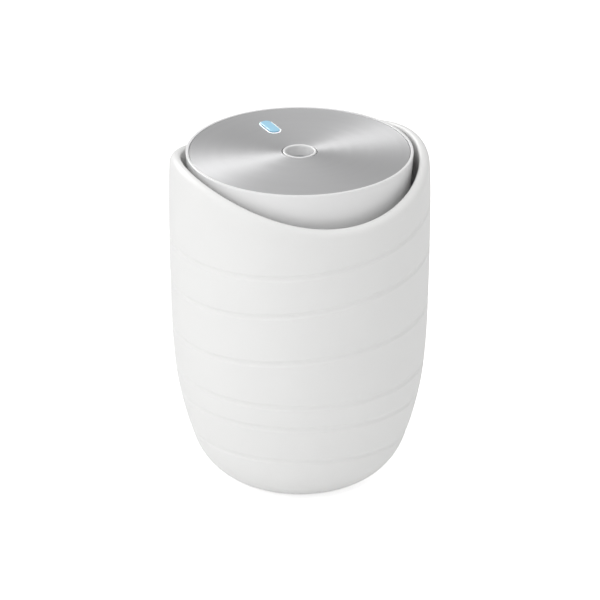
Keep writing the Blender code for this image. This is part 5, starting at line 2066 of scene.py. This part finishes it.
@dataclass
class WickHolder:
    """The wick in its tube, the spring under it, the cap and the seal round the spigot."""

    slot_width: float = 0.0030
    slot_length: float = 0.0160
    turns: float = 5.0
    lobes: int = 18

    def make(self) -> None:
        """Builds every piece."""
        self.make_tube()
        self.make_cap()
        self.make_spring()
        self.make_wick()
        self.make_seal()

    def make_tube(self) -> None:
        """The tube with its flange and two intake slots."""
        low, high, reach = span("wick_tube")
        cap = span("wick_cap")
        flange_top = span("head_base").low + 0.0064 - 0.0003
        corners = [
            Corner(0.0043, high, 0.0002), Corner(0.0053, high, 0.0003), Corner(0.0053, flange_top, 0.0004),
            Corner(reach, flange_top, 0.0003), Corner(reach, flange_top - 0.0016, 0.0004),
            Corner(0.0053, flange_top - 0.0016, 0.0005), Corner(0.0053, low, 0.0002),
            Corner(0.0043, low, 0.0002),
        ]
        item = turned("wick_holder", corners, count=96)
        foot = cap.high + 0.0030
        outline = Oblong(self.slot_length, self.slot_width, per_end=15)
        middle = foot + self.slot_length / 2
        mesh = bmesh.new()
        loops = []
        for depth in (-0.008, 0.008):
            loops.append([(x, depth, middle + y) for x, y, _ in outline.points(0.0, 0.0)])
        loft(mesh, loops)
        cut_away(item, [make_object("intake", mesh)])
        deliver(dress(item, Finishes.HOLDER), Body.HEAD, ["wick_tube"], sharp=35.0)

    def make_cap(self) -> None:
        """The end cap with a plug inside the tube and a dished end."""
        low, high, reach = span("wick_cap")
        corners = [
            Corner(0.0, high), Corner(0.0040, high, 0.0003), Corner(0.0040, high - 0.0020, 0.0001),
            Corner(reach, high - 0.0020, 0.0002), Corner(reach, low + 0.0005, 0.0003),
            Corner(0.0040, low, 0.0004), Corner(0.0024, low, 0.0003), Corner(0.0018, low + 0.0004, 0.0003),
            Corner(0.0, low + 0.0004),
        ]
        item = turned("holder_cap", corners, count=72)
        deliver(dress(item, Finishes.HOLDER), Body.HEAD, ["wick_cap"])

    def make_spring(self) -> None:
        """The wound spring under the wick."""
        low, high, reach = span("wick_spring")
        wire = 0.0003
        item = make_object("spring", bmesh.new())
        values = {
            "Turns": self.turns + 1.0, "Radius": reach - wire, "Foot": low + wire,
            "Length": high - low - 2 * wire, "Wire": wire, "Material": Finishes.get(Finishes.STEEL),
        }
        run_tree(item, coil_tree(), values)
        deliver(item, Body.HEAD, ["wick_spring"])

    def make_wick(self) -> None:
        """The wick: a rod of pressed fibre with fine lobes round it and rounded ends."""
        low, high, reach = span("wick")
        mesh = bmesh.new()
        count = self.lobes * 6
        section = rounded(
            [Corner(0.0, high), Corner(reach, high, 0.0005), Corner(reach, low, 0.0005), Corner(0.0, low)],
            False,
        )
        loops = []
        rows: list[tuple[float, float]] = []
        for (r0, z0), (r1, z1) in zip(section, section[1:]):
            cuts = max(1, int(abs(z1 - z0) / 0.004))
            rows += [(r0 + (r1 - r0) * k / cuts, z0 + (z1 - z0) * k / cuts) for k in range(cuts)]
        for radius, height in rows + [section[-1]]:
            if radius == 0.0:
                loops.append([(0.0, 0.0, height)])
                continue
            ring = []
            for step in range(count):
                turn = FULL_TURN * step / count
                sway = 0.35 * math.sin(height * 900.0)
                lobe = 1.0 - 0.022 * (1 + math.cos(self.lobes * turn + sway))
                ring.append((radius * lobe * math.sin(turn), -radius * lobe * math.cos(turn), height))
            loops.append(ring)
        loft(mesh, loops)
        item = make_object("wick_rod", mesh)
        deliver(dress(item, Finishes.FELT), Body.HEAD, ["wick"])

    def make_seal(self) -> None:
        """The silicone ring round the spigot, with two lips that touch the tank."""
        low, high, reach = span("tank_seal")
        bore = 0.0416
        back = reach - 0.0005
        third = (high - low) / 6
        corners = [
            Corner(bore, high, 0.0002), Corner(back, high, 0.0002), Corner(reach, high - third, 0.0002),
            Corner(reach, high - 2 * third, 0.0002), Corner(back, (low + high) / 2, 0.0002),
            Corner(reach, low + 2 * third, 0.0002), Corner(reach, low + third, 0.0002),
            Corner(back, low, 0.0002), Corner(bore, low, 0.0002),
        ]
        item = turned("spigot_seal", corners, count=192, steps=3)
        deliver(dress(item, Finishes.SILICONE), Body.HEAD, ["tank_seal"])


# ------------------------------------------------------------------ electronics


@dataclass
class Electronics:
    """The control board with the parts on it, the power socket, and every screw in the head."""

    seed: int = 7
    small_parts: int = 34

    def make(self) -> None:
        """Builds every piece."""
        self.make_board()
        self.make_chip()
        self.make_coil()
        self.make_lamps()
        self.make_switch()
        self.make_small_parts()
        self.make_socket()
        self.make_screws()

    def make_board(self) -> None:
        """The green board, its back edge following the can, with its screw holes."""
        low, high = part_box("control_board")
        radius = max(math.hypot(v.co.x, v.co.y) for v in frame["nodes"]["control_board"].data.vertices)
        half = high.x
        reach = math.asin(half / radius)
        corners = [(-half, low.y), (half, low.y)]
        corners += [
            (radius * math.sin(reach * (1 - step / 24)), radius * math.cos(reach * (1 - step / 24)))
            for step in range(49)
        ]
        holes = []
        for number in range(1, 5):
            box_low, box_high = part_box(f"board_screw_{number}")
            holes.append(Round(0.0014, (box_low.x + box_high.x) / 2, (box_low.y + box_high.y) / 2, 32))
        item = sheet_with_holes("printed_board", Shape(tuple(corners)), holes, low.z, high.z, 0.0001)
        deliver(dress(item, Finishes.BOARD), Body.HEAD, ["control_board"])

    def make_chip(self) -> None:
        """The control chip with its rows of pins."""
        low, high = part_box("control_chip")
        body = box_shape(
            "chip_body", (low.x, low.y + 0.0006, low.z + 0.0001), (high.x, high.y - 0.0006, high.z), 0.0001
        )
        dress(body, Finishes.BLACK)
        places, spins = [], []
        for number in range(8):
            x = low.x + (high.x - low.x) * (number + 0.5) / 8
            for side, y in ((1, high.y - 0.0006), (-1, low.y + 0.0006)):
                places.append((x, y, low.z))
                spins.append((0.0, 0.0, 0.0 if side > 0 else math.pi))
        pin = box_shape("pin", (-0.0002, 0.0, 0.0), (0.0002, 0.0006, 0.00035), 0.00006)
        pins = Copies.at("chip_pins", pin, places, Finishes.STEEL, spins)
        item = join_into("driver_chip", [body, pins])
        deliver(item, Body.HEAD, ["control_chip"])

    def make_coil(self) -> None:
        """The drum coil: a ferrite drum with copper windings."""
        low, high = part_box("driver_coil")
        x, y, reach = (low.x + high.x) / 2, (low.y + high.y) / 2, (high.x - low.x) / 2
        waist = reach * 0.72
        corners = [
            Corner(0.0, high.z), Corner(reach, high.z, 0.0003), Corner(reach, high.z - 0.0007, 0.0002),
            Corner(waist, high.z - 0.0007), Corner(waist, low.z + 0.0007),
            Corner(reach, low.z + 0.0007, 0.0002), Corner(reach, low.z, 0.0003), Corner(0.0, low.z),
        ]
        drum = dress(turned("drum", corners, x, y, 64), Finishes.FERRITE)
        parts = [drum]
        wires = 8
        pitch = (high.z - low.z - 0.0014) / wires
        for number in range(wires):
            level = low.z + 0.0007 + pitch * (number + 0.5)
            ring = [
                Corner(waist + 0.0001 + pitch / 2 * (1 + math.cos(turn)), level + pitch / 2 * math.sin(turn))
                for turn in (FULL_TURN * step / 8 for step in range(8))
            ]
            parts.append(dress(turned(f"winding_{number}", ring, x, y, 64), Finishes.COPPER))
        deliver(join_into("drum_coil", parts), Body.HEAD, ["driver_coil"])

    def make_lamps(self) -> None:
        """The two lights under the button, each a small block with a domed lens."""
        for node in ("button_led_front", "button_led_rear"):
            low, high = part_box(node)
            waist = low.z + (high.z - low.z) * 0.5
            base = dress(box_shape("base", tuple(low), (high.x, high.y, waist), 0.00006), Finishes.HOLDER)
            radius = (high.y - low.y) * 0.45
            corners = [Corner(0.0, high.z), Corner(radius * 0.6, high.z - 0.00005, 0.0001)]
            corners += [
                Corner(radius, waist + 0.0001, 0.0001), Corner(radius, waist - 0.0001),
                Corner(0.0, waist - 0.0001),
            ]
            lens = turned("lens", corners, (low.x + high.x) / 2, (low.y + high.y) / 2, 32)
            item = join_into(f"{node}_lamp", [base, dress(lens, Finishes.LAMP)])
            deliver(item, Body.HEAD, [node])

    def make_switch(self) -> None:
        """The push switch: black body, steel cover plate and a bore for the plunger."""
        low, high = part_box("button_switch")
        x, y = (low.x + high.x) / 2, (low.y + high.y) / 2
        cover_low = high.z - 0.0003
        body = box_shape("switch_body", tuple(low), (high.x, high.y, cover_low), 0.00015)
        cover = box_shape("switch_cover", (low.x, low.y, cover_low), tuple(high), 0.00008)
        for part in (body, cover):
            mesh = bmesh.new()
            outline = Round(0.0015, x, y, 32)
            bore_low = span("switch_plunger").low - 0.0008
            loft(mesh, [outline.points(0.0, height) for height in (bore_low, high.z + 0.001)])
            cut_away(part, [make_object("bore", mesh)])
        item = join_into("push_switch", [dress(body, Finishes.BLACK), dress(cover, Finishes.STEEL)])
        deliver(item, Body.HEAD, ["button_switch"])

    def make_small_parts(self) -> None:
        """Small chip parts on top of the board, in tidy rows that keep clear of everything else."""
        low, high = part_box("control_board")
        taken = []
        for name, node in frame["nodes"].items():
            if node["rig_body"] in (Body.HEAD.value, Body.BUTTON.value) and name != "control_board":
                box_low, box_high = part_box(name)
                small = (box_high - box_low).x < 0.02
                if small and box_low.z < high.z + 0.001 and box_high.z > high.z - 0.0005:
                    taken.append((box_low, box_high))
        margin = 0.0011
        places, spins, sizes = [], [], []
        for row in range(6):
            for column in range(15):
                x, y = -0.0168 + 0.0024 * column, low.y + 0.0035 + 0.0036 * row
                close = any(
                    a.x - margin < x < b.x + margin and a.y - margin < y < b.y + margin for a, b in taken
                )
                if close or (column * 5 + row * 3 + self.seed) % 4 == 0 or len(places) >= self.small_parts:
                    continue
                places.append((x, y, high.z + 0.00002))
                spins.append((0.0, 0.0, math.pi / 2 * ((column + row) % 2)))
                grown = 1.0 + 0.25 * ((column * 7 + row) % 3)
                sizes.append((grown, grown, grown))
        for title, finish, ends in (
            ("bodies", Finishes.CERAMIC, (-0.00045, 0.00045)), ("caps", Finishes.STEEL, None)
        ):
            if ends:
                part = box_shape("part", (ends[0], -0.00028, 0.0), (ends[1], 0.00028, 0.00032), 0.00004)
            else:
                left = box_shape("left", (-0.0006, -0.0003, 0.0), (-0.0004, 0.0003, 0.00035), 0.00004)
                right = box_shape("right", (0.0004, -0.0003, 0.0), (0.0006, 0.0003, 0.00035), 0.00004)
                part = join_into("part", [left, right])
            item = Copies.at(f"small_part_{title}", part, places, finish, spins, sizes)
            deliver(item, Body.HEAD)

    def make_socket(self) -> None:
        """The power socket: an oblong steel shell, a dark tongue and gold contacts."""
        low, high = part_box("usb_socket")
        middle = (low.z + high.z) / 2
        outline = Oblong(high.x - low.x, high.z - low.z, across=True, per_end=20)
        wall = 0.0003

        def standing(grow: float, depth: float) -> Loop:
            """The outline stood upright at a depth."""
            return [(x, depth, middle + y) for x, y, _ in outline.points(grow, 0.0)]

        mesh = bmesh.new()
        soft = 0.00008
        loops = [standing(-soft, low.y), standing(0.0, low.y + soft), standing(0.0, high.y - soft)]
        loops += [standing(-soft, high.y), standing(-wall + soft, high.y), standing(-wall, high.y - soft)]
        loops += [standing(-wall, low.y + 3 * wall)]
        loft(mesh, loops)
        shell = dress(make_object("socket_shell", mesh), Finishes.STEEL)
        half = 0.0033
        tongue = box_shape(
            "tongue",
            (-half, low.y + wall, middle - 0.00035),
            (half, low.y + 0.0051, middle + 0.00035),
            0.00012,
        )
        places = [
            (-half + 0.0006 + 0.0005 * number, low.y + 0.0030, middle + 0.00035) for number in range(12)
        ]
        pad = box_shape("pad", (-0.00015, 0.0, -0.00004), (0.00015, 0.0018, 0.00002), 0.00001)
        pads = Copies.at("contacts", pad, places, Finishes.GOLD)
        item = join_into("power_socket", [shell, dress(tongue, Finishes.BLACK), pads])
        deliver(item, Body.HEAD, ["usb_socket"], sharp=50.0)

    def screw(self, length: float) -> bpy.types.Object:
        """One screw, its head down and its top at the origin.

        Args:
            length: its whole length.

        Returns:
            The screw as a new object.
        """
        head, radius, wide = 0.0013, 0.0010, 0.0021
        corners = [Corner(0.0, 0.0), Corner(radius * 0.45, 0.0), Corner(radius * 0.85, -0.0007)]
        level = -0.0007
        pitch = 0.00045
        while level - pitch > head - length:
            corners += [Corner(radius, level - pitch * 0.3), Corner(radius * 0.84, level - pitch * 0.75)]
            level -= pitch
        corners += [Corner(radius * 0.84, head - length), Corner(wide, head - length, 0.0001)]
        corners += [
            Corner(wide, 0.0005 - length, 0.0003), Corner(wide * 0.6, -length, 0.0004), Corner(0.0, -length)
        ]
        item = turned("screw", corners, count=28, steps=2)
        cutters = []
        for turn in (0, 1):
            size = (0.0012, 0.00022) if turn else (0.00022, 0.0012)
            low = (-size[0], -size[1], -length - 0.001)
            cutters.append(box_shape(f"recess_{turn}", low, (size[0], size[1], 0.0007 - length)))
        cut_away(item, cutters)
        return item

    def make_screws(self) -> None:
        """Every screw in the head, from one model for each length."""
        groups: dict[float, list[str]] = {}
        for name in frame["nodes"]:
            if "_screw_" in name:
                low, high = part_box(name)
                groups.setdefault(round(high.z - low.z, 4), []).append(name)
        parts, nodes = [], []
        for number, (length, names) in enumerate(sorted(groups.items())):
            places, spins = [], []
            for name in names:
                low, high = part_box(name)
                places.append(((low.x + high.x) / 2, (low.y + high.y) / 2, high.z))
                spins.append((0.0, 0.0, 0.7 * len(places) + number))
            parts.append(Copies.at(f"screws_{number}", self.screw(length), places, Finishes.STEEL, spins))
            nodes += names
        deliver(join_into("head_screws", parts), Body.HEAD, nodes, sharp=30.0)


# ------------------------------------------------------------------ the studio


@dataclass
class Studio:
    """The pale floor, soft light and the camera."""

    azimuth: float = -25.6
    elevation: float = 24.23
    distance: float = 3.3648
    lens: float = 480.0
    aim_height: float = 0.0715
    aim_up: float = 0.00614
    aim_right: float = 0.00017
    floor_size: float = 6.0
    horizon_light: float = 0.43
    zenith_gain: float = 0.8
    backdrop_light: float = 1.05
    floor_glow: float = 0.12
    seen_glow: float = 0.5

    def make(self) -> None:
        """Builds the floor, the lights, the sky and the camera."""
        bpy.context.scene.view_settings.view_transform = "Standard"
        self.make_floor()
        self.make_sky()
        self.make_lights()
        self.make_camera()

    def make_floor(self) -> None:
        """A wide pale floor."""
        mesh = bmesh.new()
        bmesh.ops.create_grid(mesh, x_segments=8, y_segments=8, size=self.floor_size / 2)
        floor = make_object("floor", mesh, keep_facing=True)
        paint = Paint("floor_white")
        drift = paint.effect(Effect.DRIFT, size=0.5, amount=0.01).outputs["Tone"]
        seen = paint.add("ShaderNodeLightPath").outputs["Is Camera Ray"]
        glow = paint.sum("MULTIPLY_ADD", seen, self.seen_glow, self.floor_glow)
        paint.set(base_color=paint.tint((0.84, 0.84, 0.84), drift), roughness=0.9)
        paint.set(emission_color=(1.0, 1.0, 1.0), emission_strength=glow)
        floor.data.materials.append(paint.material)

    def make_sky(self) -> None:
        """A surround that is white to the eye, and lights the object more from above than from the side."""
        world = bpy.data.worlds.new("studio")
        bpy.context.scene.world = world
        world.use_nodes = True
        sky = Graph(world.node_tree)
        background = world.node_tree.nodes["Background"]
        background.inputs["Color"].default_value = (1.0, 1.0, 1.0, 1.0)
        seen = sky.add("ShaderNodeLightPath").outputs["Is Camera Ray"]
        direction = sky.add("ShaderNodeTexCoord").outputs["Generated"]
        up = sky.sum("MAXIMUM", sky.add("ShaderNodeSeparateXYZ", {0: direction}).outputs[2], 0.0)
        light = sky.sum("MULTIPLY_ADD", sky.sum("MULTIPLY", up, up), self.zenith_gain, self.horizon_light)
        strength = sky.add("ShaderNodeMix", {"Factor": seen, 2: light, 3: self.backdrop_light})
        sky.tree.links.new(strength.outputs[0], background.inputs["Strength"])

    def make_lights(self) -> None:
        """A broad soft light from the left, and a panel that only the metal mirrors."""
        soft = self.panel("soft_left", (-80.0, 33.0), 1.4, 1.4, 7.0)
        soft.visible_glossy = False
        streak = self.panel("streak", (-166.0, 33.0), 1.4, 0.6, 12.0)
        streak.visible_diffuse = False

    def panel(
        self, name: str, angles: tuple[float, float], distance: float, size: float, power: float
    ) -> bpy.types.Object:
        """Adds a square light that faces the object.

        Args:
            name: the light's name.
            angles: azimuth and elevation as seen from the object, in degrees.
            distance: how far away it is.
            size: its side.
            power: its power in watts.

        Returns:
            The light.
        """
        turn, lift = (math.radians(angle) for angle in angles)
        away = Vector((math.sin(turn) * math.cos(lift), -math.cos(turn) * math.cos(lift), math.sin(lift)))
        data = bpy.data.lights.new(name, "AREA")
        data.shape = "SQUARE"
        data.size = size
        data.energy = power
        item = bpy.data.objects.new(name, data)
        item.location = Vector((0.0, 0.0, 0.08)) + away * distance
        item.rotation_euler = (-away).to_track_quat("-Z", "Y").to_euler()
        bpy.context.scene.collection.objects.link(item)
        return item

    def make_camera(self) -> None:
        """The long-lens camera, a little to the left and above."""
        turn, lift = math.radians(self.azimuth), math.radians(self.elevation)
        back = Vector((math.sin(turn) * math.cos(lift), -math.cos(turn) * math.cos(lift), math.sin(lift)))
        up = Vector((-math.sin(turn) * math.sin(lift), math.cos(turn) * math.sin(lift), math.cos(lift)))
        right = Vector((math.cos(turn), math.sin(turn), 0.0))
        aim = Vector((0.0, 0.0, self.aim_height)) + up * self.aim_up + right * self.aim_right
        data = bpy.data.cameras.new("camera")
        data.lens = self.lens
        data.sensor_width = 36.0
        data.clip_end = 20.0
        item = bpy.data.objects.new("camera", data)
        item.location = aim + back * self.distance
        item.rotation_euler = (math.pi / 2 - lift, 0.0, turn)
        bpy.context.scene.collection.objects.link(item)
        bpy.context.scene.camera = item


def main() -> None:
    """Builds the studio and every sub-assembly in order."""
    logging.basicConfig(level=logging.INFO, format="%(name)s: %(message)s")
    for assembly in (
        Studio(), OuterShell(), WaterTank(), HeadCase(), MistHead(), PowerButton(), WickHolder(),
        Electronics(),
    ):
        assembly.make()
        LOG.info("%s is done", type(assembly).__name__)


if __name__ == "__main__":
    main()
